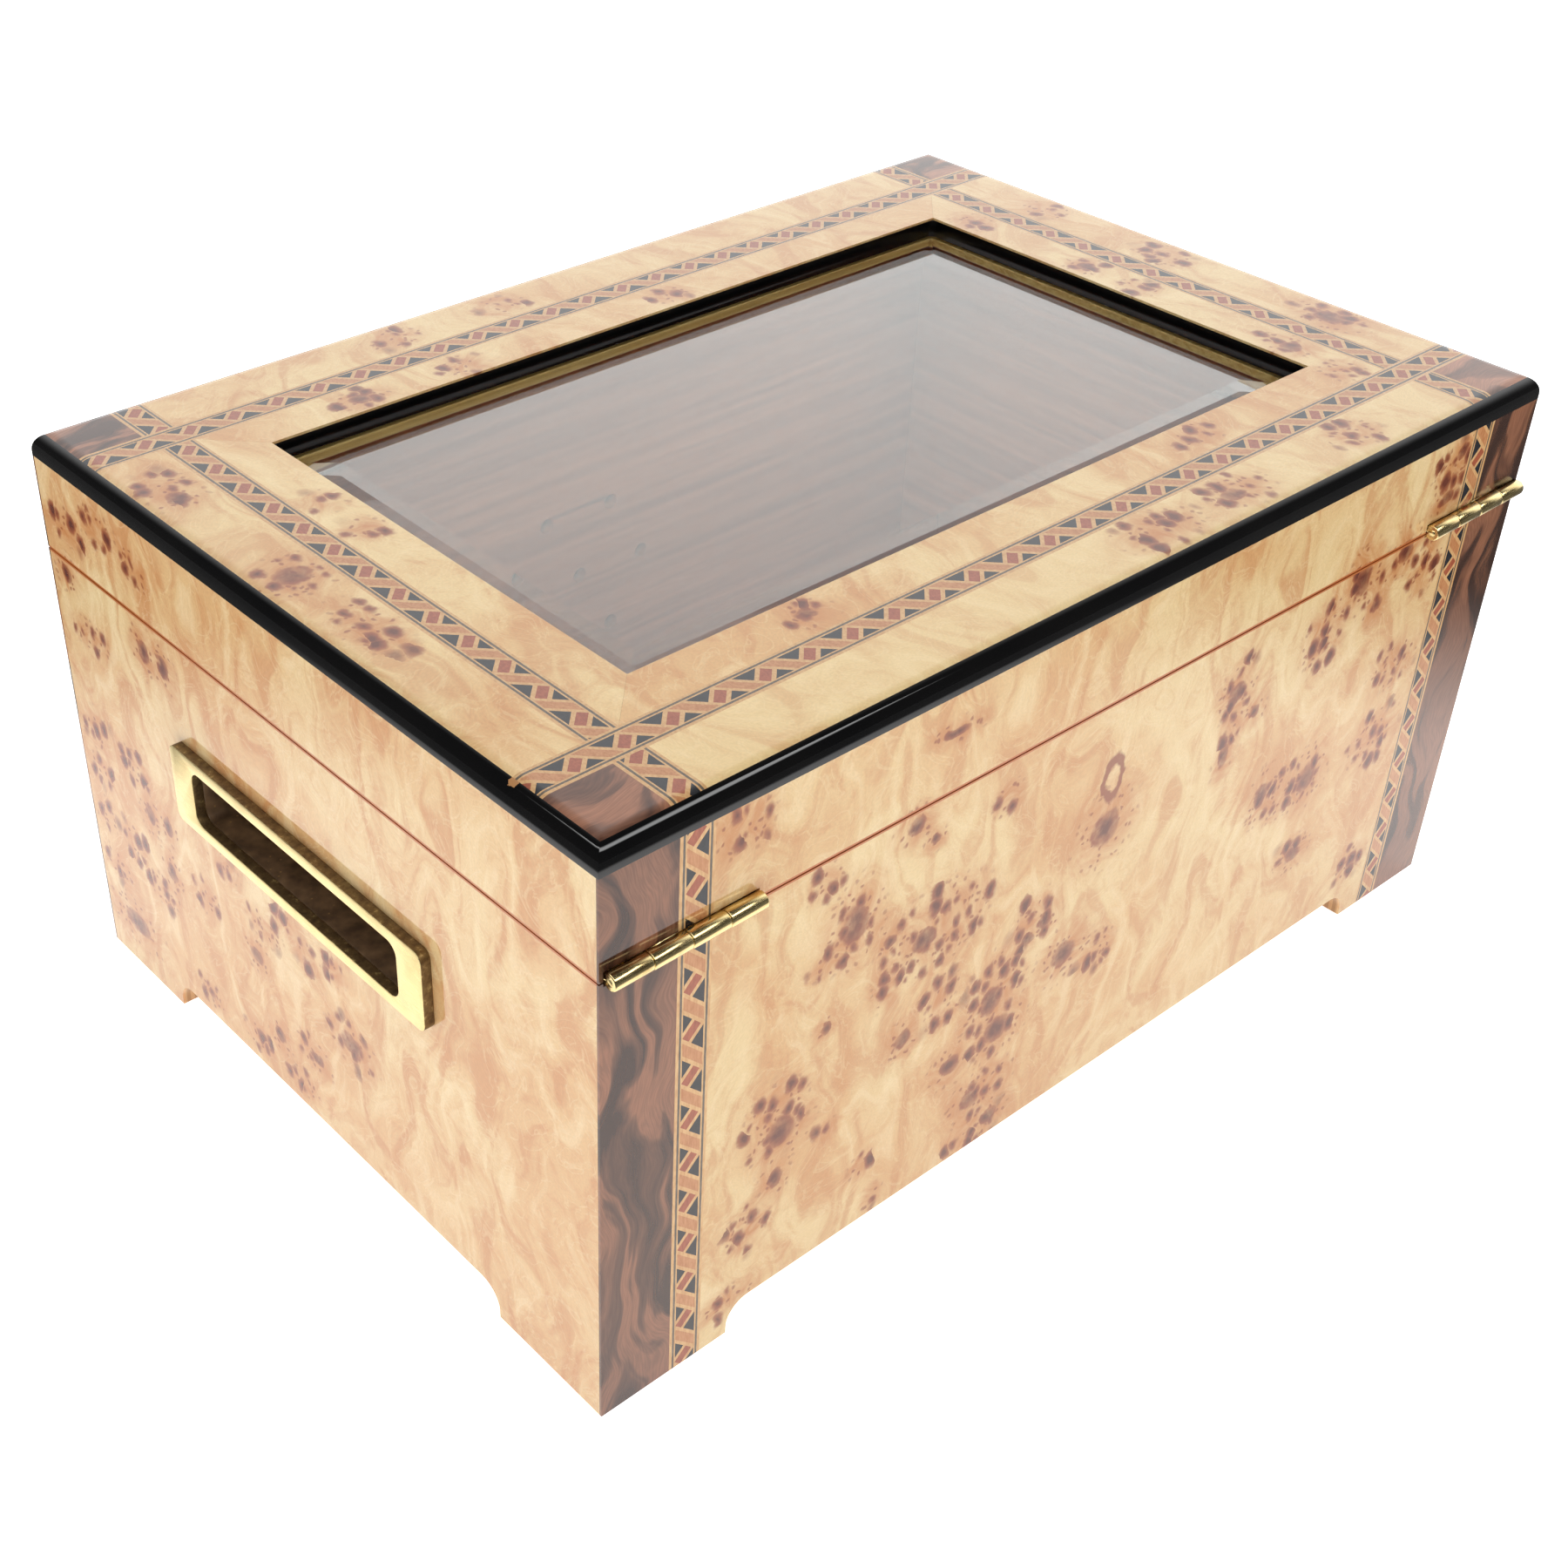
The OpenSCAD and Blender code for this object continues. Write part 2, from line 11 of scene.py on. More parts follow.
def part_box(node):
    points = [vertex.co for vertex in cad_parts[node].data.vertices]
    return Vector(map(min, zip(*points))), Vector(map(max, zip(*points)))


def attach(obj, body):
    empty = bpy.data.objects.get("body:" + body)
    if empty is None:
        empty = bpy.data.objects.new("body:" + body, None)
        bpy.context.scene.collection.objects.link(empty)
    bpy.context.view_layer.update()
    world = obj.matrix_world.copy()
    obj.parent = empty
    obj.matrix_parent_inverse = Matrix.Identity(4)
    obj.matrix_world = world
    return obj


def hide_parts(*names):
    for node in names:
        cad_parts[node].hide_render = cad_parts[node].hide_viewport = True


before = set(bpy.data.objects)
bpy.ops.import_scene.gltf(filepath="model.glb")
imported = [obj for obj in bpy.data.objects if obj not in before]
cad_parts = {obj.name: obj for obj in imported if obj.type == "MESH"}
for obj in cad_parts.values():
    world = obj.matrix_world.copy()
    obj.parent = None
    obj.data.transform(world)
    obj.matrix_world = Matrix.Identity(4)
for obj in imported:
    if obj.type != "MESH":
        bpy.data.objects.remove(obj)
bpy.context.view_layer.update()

bl_info = {
    "name": "Burl Chest",
    "version": (1, 0, 0),
    "blender": (4, 5, 0),
    "location": "View3D > Sidebar > Burl Chest",
    "description": "Builds the visible surfaces of a burl-veneered, glass-topped chest on its CAD frame",
    "category": "Object",
}

MM = 0.001

# The four sides are numbered 0 to 3, anticlockwise from the front as seen from above
FRONT, BACK = 0, 2

# Millimetres taken from the frame, which every veneer and band is laid out from
EDGING_LOW, EDGING_HIGH = (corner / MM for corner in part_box("lid_edging"))
HALF_W = EDGING_HIGH.x
HALF_D = EDGING_HIGH.y
TOP_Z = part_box("lid_inner_veneers")[1].z / MM
EDGING_Z = EDGING_LOW.z
BOARD_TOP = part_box("lid_inner_veneers")[0].z / MM
JOINT_Z = (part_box("back_wall")[1].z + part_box("lid_back_side")[0].z) / 2 / MM

# How far the hinge barrels' groove reaches above and below their axis on the back face
HINGE_Z = 155.7
GROOVE_REACH = 2.2


# ---------------------------------------------------------------- small helpers


def linear(colour, alpha=1.0):
    """Turns an sRGB hex colour into the linear values that nodes and properties hold."""
    parts = [int(colour[i : i + 2], 16) / 255 for i in (1, 3, 5)]
    return (*[c / 12.92 if c <= 0.04045 else ((c + 0.055) / 1.055) ** 2.4 for c in parts], alpha)


def out_of(value):
    """The output that a node is read from: a colour Mix has its result in its third socket."""
    if isinstance(value, bpy.types.Node):
        mixes_colour = value.bl_idname == "ShaderNodeMix" and value.data_type == "RGBA"
        return value.outputs[2 if mixes_colour else 0]
    return value


# The setting that a node's kind may name after a point, as in Math.MULTIPLY
MODES = {"Math": "operation", "VectorMath": "operation", "Mix": "data_type", "TexNoise": "noise_dimensions",
    "TexVoronoi": "voronoi_dimensions", "MapRange": "interpolation_type"}


def add_node(tree, kind, inputs=None, ramp=None, **settings):
    """Adds one shader node with its settings, its ramp stops, and its inputs as values or links."""
    kind, _, mode = kind.partition(".")
    made = tree.nodes.new("ShaderNode" + kind)
    if mode:
        setattr(made, MODES[kind], mode)
    for key, value in settings.items():
        setattr(made, key, value)
    if ramp:
        stops = made.color_ramp.elements
        while len(stops) < len(ramp):
            stops.new(0.5)
        for stop, (place, colour) in zip(stops, ramp):
            stop.position = place
            stop.color = linear(colour) if isinstance(colour, str) else (colour, colour, colour, 1)
    for key, value in (inputs or {}).items():
        value = out_of(value)
        if isinstance(value, bpy.types.NodeSocket):
            tree.links.new(value, made.inputs[key])
        else:
            made.inputs[key].default_value = value
    return made


def material(name):
    """A new node material, and the function that adds a node to it."""
    made = bpy.data.materials.new(name)
    made.use_nodes = True
    made.node_tree.nodes.clear()
    return made, partial(add_node, made.node_tree)


# Clear gloss lacquer: the coat alone mirrors, and what is under it is matt
LACQUER = {"Specular_IOR_Level": 0.0, "Coat_Weight": 1.0, "Coat_Roughness": 0.03}


def surface(add, **inputs):
    """Ends a material in one Principled shader. Underscores in the names stand for spaces."""
    shader = add("BsdfPrincipled", {key.replace("_", " "): value for key, value in inputs.items()})
    return add("OutputMaterial", {"Surface": shader})


def piece(name, bm, body, materials, stands_for=(), smooth=30.0):
    """Makes a finished mesh a piece of the chest that rides on a body and takes a slot's finish."""
    mesh = bpy.data.meshes.new(name)
    bm.to_mesh(mesh)
    bm.free()
    for finish in materials:
        mesh.materials.append(finish)
    mesh.shade_smooth()
    mesh.set_sharp_from_angle(angle=math.radians(smooth))
    made = bpy.data.objects.new(name, mesh)
    bpy.context.scene.collection.objects.link(made)
    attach(made, body)
    if stands_for:
        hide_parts(*stands_for)
    return made


def dress(finish, *nodes):
    """Gives CAD nodes a finish."""
    for name in nodes:
        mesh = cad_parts[name].data
        mesh.materials.clear()
        mesh.materials.append(finish)


def merged_copy(node, whole=True):
    """A copy of a CAD node's mesh with its loose triangles joined and, if asked, its flat faces whole."""
    bm = bmesh.new()
    bm.from_mesh(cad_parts[node].data)
    bmesh.ops.remove_doubles(bm, verts=bm.verts, dist=2e-6)
    if whole:
        bmesh.ops.dissolve_limit(bm, angle_limit=math.radians(0.5), verts=bm.verts, edges=bm.edges)
    bmesh.ops.recalc_face_normals(bm, faces=bm.faces)
    return bm


def soften(bm, width, segments=2, sharper_than=35.0):
    """Rounds every edge that turns by more than an angle, width in millimetres."""
    limit = math.radians(sharper_than)
    edges = [e for e in bm.edges if len(e.link_faces) == 2 and e.calc_face_angle(0) > limit]
    bmesh.ops.bevel(bm, geom=edges, offset=width * MM, offset_type="OFFSET", segments=segments,
        profile=0.5, affect="EDGES", clamp_overlap=True, material=-1)
    return bm


def eased(width, *nodes):
    """Rounds the edges of CAD nodes with live modifiers, width in millimetres."""
    for name in nodes:
        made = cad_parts[name]
        weld = made.modifiers.new("join", "WELD")
        weld.merge_threshold = 2e-6
        bevel = made.modifiers.new("ease", "BEVEL")
        bevel.width = width * MM
        bevel.segments = 2
        bevel.limit_method = "ANGLE"
        bevel.angle_limit = math.radians(35)
        bevel.harden_normals = False


def facing(add, side):
    """Object coordinates in millimetres, turned so X runs along a side's face to the right and Z goes up."""
    where = add("TexCoord")
    return add("Mapping", {"Vector": where.outputs["Object"],
        "Rotation": (0, 0, -math.pi / 2 * side), "Scale": (1 / MM,) * 3})


def flat_face(add, side):
    """(x along the face, y up it) in millimetres on a side, or (x, y) on the lid where side is None."""
    if side is None:
        return facing(add, FRONT)
    parts = add("SeparateXYZ", {0: facing(add, side)})
    return add("CombineXYZ", {0: parts.outputs["X"], 1: parts.outputs["Z"]})


def nearest(add, where, spots):
    """How far the nearest spot is, counted in that spot's own half sizes: (x, y, half width, half height)."""
    best = None
    for across, up, wide, high in spots:
        scaled = add("VectorMath.MULTIPLY_ADD", {0: where, 1: (1 / wide, 1 / high, 0),
            2: (-across / wide, -up / high, 0)})
        away = add("VectorMath.LENGTH", {0: scaled}).outputs["Value"]
        best = away if best is None else add("Math.MINIMUM", {0: best, 1: away})
    return best


# ---------------------------------------------------------------- sizes and colours


class ChestVeneers(bpy.types.PropertyGroup):
    """Colours of the veneers, as they are under the clear lacquer."""

    burl_cream: FloatVectorProperty(name="Burl cream", description="Palest wood between the eyes",
        subtype="COLOR", size=3, min=0, max=1, default=linear("#e5ca97")[:3])
    burl_honey: FloatVectorProperty(name="Burl honey", description="Wood of the middle tone",
        subtype="COLOR", size=3, min=0, max=1, default=linear("#d9ae79")[:3])
    burl_peach: FloatVectorProperty(name="Burl peach", description="Warm clouds round the eyes",
        subtype="COLOR", size=3, min=0, max=1, default=linear("#c4824d")[:3])
    burl_eye: FloatVectorProperty(name="Burl eyes", description="Bark-brown eyes of the burl",
        subtype="COLOR", size=3, min=0, max=1, default=linear("#914a2e")[:3])
    burl_core: FloatVectorProperty(name="Burl eye cores", description="Darkest middle of an eye",
        subtype="COLOR", size=3, min=0, max=1, default=linear("#5c291d")[:3])
    walnut_dark: FloatVectorProperty(name="Walnut dark", description="Dark figure of the walnut",
        subtype="COLOR", size=3, min=0, max=1, default=linear("#3b241a")[:3])
    walnut_red: FloatVectorProperty(name="Walnut red", description="Reddish flame of the walnut",
        subtype="COLOR", size=3, min=0, max=1, default=linear("#946247")[:3])


class ChestSizes(bpy.types.PropertyGroup):
    """Sizes of the details that the frame doesn't fix."""

    edge_radius: FloatProperty(name="Lid edge radius", description="Radius of the lid's rounded top edge",
        unit="LENGTH", min=0.003, max=0.007, default=0.006)
    edge_steps: IntProperty(name="Lid edge steps", description="Faces across the rounded top edge",
        min=4, max=24, default=14)
    band_repeat: FloatProperty(name="Band repeat", description="Length of one repeat of the marquetry",
        unit="LENGTH", min=0.01, max=0.02, default=0.015)
    brass_round: FloatProperty(name="Brass edge", description="Rounding of the brass grips' edges",
        unit="LENGTH", min=0.0001, max=0.001, default=0.0005)


class ChestStudio(bpy.types.PropertyGroup):
    """Brightness of the studio, where 1 shows as white."""

    sweep: FloatProperty(name="Far sweep", description="Brightness of the white sweep beyond the chest",
        min=0, max=10, default=1.95)
    room: FloatProperty(name="Near room", description="Brightness of the room on the camera's side",
        min=0, max=10, default=0.2)
    floor: FloatProperty(name="Floor glow", description="Light that the floor gives off by itself",
        min=0, max=10, default=1.0)
    key: FloatProperty(name="Key light", description="Power of the large soft key light",
        subtype="POWER", min=0, max=500, default=7)


# ---------------------------------------------------------------- finishes

# Burl eyes as (x, height, half width, half height) in millimetres. On the back, x is from the face's
# left end as seen from behind; groups are patches of small eyes, and knots are single large ones.
BACK_GROUPS = (
    (44, 179, 11, 9), (339, 174, 13, 11), (73, 147, 7, 7), (141, 142, 7, 6), (85, 127, 10, 11),
    (78, 120, 10, 6), (119, 110, 21, 16), (100, 100, 7, 10), (161, 91, 10, 10), (122, 84, 8, 7),
    (124, 74, 8, 5), (146, 67, 14, 22), (192, 62, 10, 8), (60, 74, 13, 15), (80, 57, 5, 5),
    (51, 38, 9, 10), (95, 34, 5, 5), (101, 18, 5, 5), (45, 14, 11, 6), (148, 34, 14, 8),
    (144, 18, 13, 8), (284, 137, 12, 15), (304, 147, 13, 10), (335, 142, 10, 11), (243, 130, 8, 18),
    (330, 108, 14, 10), (278, 80, 13, 11), (292, 79, 10, 11), (328, 80, 15, 12), (333, 25, 10, 8),
    (292, 50, 9, 7),
)
BACK_KNOTS = (
    (117, 174, 5.5, 2.0), (341, 180, 3.6, 3.0), (338, 165, 4.5, 3.2), (105, 150, 4.2, 3.4),
    (113, 142, 2.4, 2.2), (85, 128, 5.5, 7.5), (99, 115, 3.0, 2.8), (113, 108, 5.8, 4.3),
    (187, 110, 7.0, 7.2), (242, 133, 4.8, 4.6), (253, 122, 3.0, 3.0), (241, 111, 2.4, 5.2),
    (299, 150, 5.0, 6.5), (321, 152, 4.2, 4.6), (310, 137, 3.2, 3.4), (267, 84, 3.8, 5.6),
    (292, 80, 5.5, 6.5), (176, 69, 6.0, 5.5), (108, 75, 4.0, 3.6), (149, 55, 6.5, 5.5),
    (145, 68, 5.0, 6.0), (130, 52, 4.6, 4.2), (62, 69, 6.0, 6.5), (61, 52, 3.0, 4.4),
    (151, 19, 4.2, 4.2), (141, 32, 5.0, 4.4), (294, 48, 4.6, 3.6), (165, 88, 3.4, 4.0),
    (158, 84, 3.4, 2.8), (77, 97, 2.4, 2.2),
)
EYE_SQUEEZE = 0.78
BACK_RINGS = ((187, 127.5, 4.6, 8.0),)
# On the right-hand side x is from the front edge
SIDE_GROUPS = (
    (35, 176, 12, 7), (55, 171, 8, 7), (16, 168, 10, 7), (20, 132, 12, 6), (37, 92, 11, 8), (27, 58, 10, 8),
    (9, 60, 7, 8), (72, 63, 9, 7), (86, 84, 9, 6), (107, 73, 10, 7), (118, 83, 8, 5), (130, 77, 8, 6),
    (144, 81, 7, 6), (95, 21, 9, 6), (66, 20, 9, 6), (44, 48, 10, 7), (12, 40, 9, 7), (120, 20, 9, 6),
    (14, 94, 10, 9), (12, 78, 8, 7), (150, 57, 12, 9), (128, 38, 10, 7),
)
SIDE_KNOTS = (
    (10, 150, 3.4, 3.6), (54, 143, 3.8, 4.6), (65, 143, 3.6, 4.4), (42, 77, 3.2, 4.2), (53, 79, 3.0, 4.0),
    (51, 60, 3.6, 4.4), (151, 57, 6.4, 4.4), (130, 37, 4.4, 2.6), (109, 32, 3.2, 3.4), (100, 58, 4.4, 3.4),
    (20, 20, 9, 5),
)
# On the lid x and y are from its middle. Its veneers are more golden than the sides'
TOP_TINT = "#fffbf0"
TOP_GROUPS = (
    (177, -74, 9, 14), (176, -11, 10, 11), (175, 22, 8, 17), (147, -41, 7, 7), (147, -21, 7, 7),
    (102, -88, 10, 7), (65, -88, 10, 7), (70, -117, 11, 7), (27, -117, 10, 7), (85, 88, 9, 7),
    (-74, 88, 11, 7), (-145, 89, 9, 8), (-20, 117, 18, 9), (-55, 117, 14, 9), (-176, -6, 9, 12),
    (-176, 62, 9, 14), (-147, -69, 7, 9), (-147, -16, 7, 8), (-147, 7, 7, 8), (-147, 66, 7, 11),
    (-176, -60, 8, 10), (-110, 117, 12, 8), (-20, -88, 9, 6),
)
TOP_KNOTS = (
    (177, -68, 4, 5), (176, -12, 6.5, 5.5), (103, -88, 4, 3), (-176, 62, 5, 7), (-147, -16, 3.6, 4),
    (85, 88, 4, 3), (-52, 118, 5, 3.5), (-147, 68, 4, 4),
)


def face_spots(spots, half):
    """Moves spots that are counted from a face's left end to its middle."""
    return [(x - half, *rest) for x, *rest in spots]


def mitred(add):
    """1 on the lid's two long inside veneers and 0 on its two short ones, which meet in mitres."""
    parts = add("SeparateXYZ", {0: facing(add, FRONT)})
    sides = [add("Math.ABSOLUTE", {0: parts.outputs[axis]}) for axis in ("X", "Y")]
    step = add("Math.SUBTRACT", {0: sides[0], 1: sides[1]})
    return add("Math.LESS_THAN", {0: step, 1: HALF_W - HALF_D})


def burl_veneer(name, side, groups, knots, rings=(), cream_share=0.5, warmth=0.6, tint="#ffffff", swap=None):
    """Sliced burl veneer under polished gloss lacquer: cream wood in slow clouds with light wisps and peach
    streaks, crowded with small bark-brown eyes in warm halos. Behind the slice the board shows its plies."""
    colours = bpy.context.scene.chest_veneers
    made, add = material(name)
    place = flat_face(add, side)
    # The wood's own drift bends every pattern, about 9 mm over 40 mm
    drift = add("TexNoise.2D", {"Vector": place, "Scale": 1 / 40, "Detail": 2.0})
    bent = add("VectorMath.MULTIPLY_ADD", {0: drift.outputs["Color"], 1: (18, 18, 0), 2: place})
    # Ragged outlines of the eyes, 1.5 mm over 5 mm
    tremble = add("TexNoise.2D", {"Vector": place, "Scale": 1 / 5, "Detail": 3.0})
    shifted = add("VectorMath.ADD", {0: tremble.outputs["Color"], 1: (-0.5, -0.5, -0.5)})
    ragged = add("VectorMath.MULTIPLY_ADD", {0: shifted, 1: (3.0, 3.0, 0), 2: place})

    # Clouds of 60 mm, streaks that sweep up the face 18 mm apart, then 12 mm curls
    clouds = add("TexNoise.2D", {"Vector": bent, "Scale": 1 / 60, "Detail": 3.0, "Distortion": 0.8})
    share = cream_share
    if swap is not None:
        share = add("Math.MULTIPLY_ADD", {0: mitred(add), 1: swap, 2: cream_share})
    pick = add("Math.SUBTRACT", {0: clouds, 1: share})
    pick = add("MapRange", {"Value": pick, "From Min": -0.15, "From Max": 0.15})
    base = add("Mix.RGBA", {0: pick, 6: (*colours.burl_cream, 1), 7: (*colours.burl_honey, 1)})
    drawn = add("VectorMath.MULTIPLY", {0: bent, 1: (1, 0.42, 0)})
    streaks = add("TexNoise.2D", {"Vector": drawn, "Scale": 1 / 18, "Detail": 5.0, "Roughness": 0.55,
        "Distortion": 1.4})
    swept = add("MapRange.SMOOTHSTEP", {"Value": streaks, "From Min": 0.47, "From Max": 0.68,
        "To Max": warmth})
    base = add("Mix.RGBA", {0: swept, 6: base, 7: (*colours.burl_peach, 1)})
    curls = add("TexNoise.2D", {"Vector": bent, "Scale": 1 / 12, "Detail": 5.0, "Roughness": 0.6,
        "Distortion": 1.8})
    warm = add("MapRange", {"Value": curls, "From Min": 0.48, "From Max": 0.74, "To Max": 0.55 * warmth})
    base = add("Mix.RGBA", {0: warm, 6: base, 7: (*colours.burl_peach, 1)})
    # Pale wisps where the fibres turn, as soft ridges a few millimetres wide
    pale = add("MapRange", {"Value": streaks, "From Min": 0.44, "From Max": 0.30, "To Max": 0.45})
    base = add("Mix.RGBA", {0: pale, 6: base, 7: linear("#efd9ab")})
    ridge = add("TexNoise.2D", {"Vector": bent, "Scale": 1 / 16, "Detail": 4.0, "Distortion": 2.0})
    off = add("Math.ABSOLUTE", {0: add("Math.SUBTRACT", {0: ridge, 1: 0.5})})
    wisp = add("MapRange", {"Value": off, "From Max": 0.03, "To Min": 0.3, "To Max": 0.0})
    base = add("Mix.RGBA", {0: wisp, 6: base, 7: linear("#efd9ab")})
    # Fine fleck of the cut fibres, 0.7 mm
    fleck = add("TexNoise.2D", {"Vector": bent, "Scale": 1 / 0.7, "Detail": 2.0})
    shade = add("MapRange", {"Value": fleck, "From Min": 0.3, "From Max": 0.7, "To Min": 0.95,
        "To Max": 1.04})
    base = add("VectorMath.MULTIPLY", {0: base, 1: shade})

    # Warm halo round each patch of eyes
    around = nearest(add, ragged, [*groups, *[(x, y, 2.2 * w, 2.2 * h) for x, y, w, h in knots]])
    halo = add("MapRange.SMOOTHSTEP", {"Value": around, "From Min": 0.3, "From Max": 1.45, "To Min": 0.8,
        "To Max": 0.0})
    broken = add("Math.MULTIPLY", {0: halo, 1: add("MapRange", {"Value": curls, "From Min": 0.3,
        "From Max": 0.65, "To Min": 0.35, "To Max": 1.15})})
    base = add("Mix.RGBA", {0: broken, 6: base, 7: (*colours.burl_peach, 1)})

    # Small eyes, taller than wide: one per 5.6 mm cell, only in cells whose middle lies in a patch
    taller = add("VectorMath.MULTIPLY", {0: ragged, 1: (1, EYE_SQUEEZE, 0)})
    cells = add("TexVoronoi.2D", {"Vector": taller, "Scale": 1 / 5.6, "Randomness": 0.9})
    middle = add("VectorMath.MULTIPLY", {0: cells.outputs["Position"], 1: (1, 1 / EYE_SQUEEZE, 0)})
    patch = nearest(add, middle, groups)
    luck = add("SeparateColor", {0: cells.outputs["Color"]})
    reach = add("MapRange", {"Value": luck.outputs["Red"], "To Min": 0.14, "To Max": 0.52})
    inside = add("MapRange", {"Value": patch, "From Min": 0.95, "From Max": 1.05, "To Min": 1.0,
        "To Max": 0.0})
    depth = add("Math.SUBTRACT", {0: reach, 1: cells.outputs["Distance"]})
    eyes = add("MapRange.SMOOTHSTEP", {"Value": depth, "From Min": -0.12, "From Max": 0.14})
    eyes = add("Math.MULTIPLY", {0: eyes, 1: inside})
    # Pin specks round them, one per 2.6 mm cell
    specks = add("TexVoronoi.2D", {"Vector": ragged, "Scale": 1 / 2.6})
    chance = add("SeparateColor", {0: specks.outputs["Color"]})
    rare = add("Math.GREATER_THAN", {0: chance.outputs["Green"], 1: 0.62})
    dots = add("MapRange", {"Value": specks.outputs["Distance"], "From Min": 0.16, "From Max": 0.34,
        "To Min": 0.8, "To Max": 0.0})
    near_patch = add("MapRange", {"Value": around, "From Min": 0.75, "From Max": 1.15, "To Min": 1.0,
        "To Max": 0.0})
    dots = add("Math.MULTIPLY", {0: add("Math.MULTIPLY", {0: dots, 1: rare}), 1: near_patch})
    # Large knots, each with a mottled middle
    knot = nearest(add, ragged, knots)
    mottle = add("MapRange", {"Value": tremble, "From Min": 0.35, "From Max": 0.62, "To Min": 0.55})
    knotted = add("MapRange.SMOOTHSTEP", {"Value": knot, "From Min": 0.75, "To Min": 1.0, "To Max": 0.0})
    knotted = add("Math.MULTIPLY", {0: knotted, 1: mottle})
    dark = add("Math.MAXIMUM", {0: add("Math.MAXIMUM", {0: eyes, 1: dots}), 1: knotted})
    if rings:
        loop = nearest(add, ragged, rings)
        bend = add("Math.ABSOLUTE", {0: add("Math.SUBTRACT", {0: loop, 1: 0.82})})
        rim = add("MapRange", {"Value": bend, "From Min": 0.16, "From Max": 0.32, "To Min": 1.0,
            "To Max": 0.0})
        dark = add("Math.MAXIMUM", {0: dark, 1: rim})
    base = add("Mix.RGBA", {0: add("Math.MULTIPLY", {0: dark, 1: 0.9}), 6: base,
        7: (*colours.burl_eye, 1)})
    heart = add("MapRange", {"Value": depth, "From Min": 0.12, "From Max": 0.34, "To Max": 0.85})
    heart = add("Math.MULTIPLY", {0: heart, 1: inside})
    pit = add("MapRange", {"Value": knot, "From Min": 0.25, "From Max": 0.8, "To Min": 0.85, "To Max": 0.0})
    pit = add("Math.MULTIPLY", {0: pit, 1: mottle})
    base = add("Mix.RGBA", {0: add("Math.MAXIMUM", {0: heart, 1: pit}), 6: base,
        7: (*colours.burl_core, 1)})

    if side is not None:
        # Below the 0.8 mm slice the edge shows pale plies, 1.4 mm each
        parts = add("SeparateXYZ", {0: facing(add, side)})
        half = HALF_D if side % 2 == 0 else HALF_W
        deep = add("Math.ADD", {0: parts.outputs["Y"], 1: half})
        plies = add("Math.GREATER_THAN", {0: add("Math.MODULO", {0: deep, 1: 2.8}), 1: 1.4})
        board = add("Mix.RGBA", {0: plies, 6: linear("#c39b6b"), 7: linear("#a87f52")})
        behind = add("MapRange", {"Value": deep, "From Min": 0.75, "From Max": 0.85})
        base = add("Mix.RGBA", {0: behind, 6: base, 7: board})
        # An orange-brown band painted on each face at the joint where the lid meets the case, 0.6 mm each
        away = add("Math.ABSOLUTE", {0: add("Math.SUBTRACT", {0: parts.outputs["Z"], 1: JOINT_Z})})
        joint_band = add("MapRange", {"Value": away, "From Min": 0.7, "From Max": 1.0, "To Min": 1.0,
            "To Max": 0.0})
        base = add("Mix.RGBA", {0: joint_band, 6: base, 7: linear("#bc6c38")})
    base = add("VectorMath.MULTIPLY", {0: base, 1: linear(tint)[:3]})
    surface(add, Base_Color=base, Roughness=0.38, **LACQUER)
    return made


def walnut_veneer(name, side, lift=1.0):
    """Figured walnut veneer under gloss lacquer: near-black sweeping bands, a red flame and open pores."""
    colours = bpy.context.scene.chest_veneers
    made, add = material(name)
    place = flat_face(add, side)
    sway = add("TexNoise.2D", {"Vector": place, "Scale": 1 / 45, "Detail": 2.0})
    bent = add("VectorMath.MULTIPLY_ADD", {0: sway.outputs["Color"], 1: (26, 20, 0), 2: place})
    # Figure that runs up the strip, in broad bands 10 to 16 mm apart with finer lines in them
    along = (1, 0.22, 1) if side is not None else (0.4, 1, 1)
    drawn = add("VectorMath.MULTIPLY", {0: bent, 1: along})
    figure = add("TexNoise.2D", {"Vector": drawn, "Scale": 1 / 13, "Detail": 3.0, "Roughness": 0.45,
        "Distortion": 1.0})
    tone = add("ValToRGB", {0: figure}, ramp=((0.34, 0.0), (0.46, 0.35), (0.52, 0.85), (0.70, 1.0)))
    base = add("Mix.RGBA", {0: tone, 6: (*colours.walnut_dark, 1), 7: (*colours.walnut_red, 1)})
    # Slow change from dark to flame over 70 mm
    slow = add("TexNoise.2D", {"Vector": place, "Scale": 1 / 70, "Detail": 1.0})
    gloom = add("MapRange", {"Value": slow, "From Min": 0.35, "From Max": 0.65, "To Max": 0.35})
    base = add("Mix.RGBA", {0: gloom, 6: base, 7: (*colours.walnut_dark, 1)})
    # Pores 0.3 mm wide and a few millimetres long
    stretched = add("VectorMath.MULTIPLY", {0: bent, 1: (1, 0.08, 1) if side is not None else (0.08, 1, 1)})
    pores = add("TexNoise.2D", {"Vector": stretched, "Scale": 1 / 0.5, "Detail": 1.0})
    shade = add("MapRange", {"Value": pores, "From Min": 0.35, "From Max": 0.7, "To Min": 0.86 * lift,
        "To Max": 1.12 * lift})
    base = add("VectorMath.MULTIPLY", {0: base, 1: shade})
    surface(add, Base_Color=base, Roughness=0.4, **LACQUER)
    return made


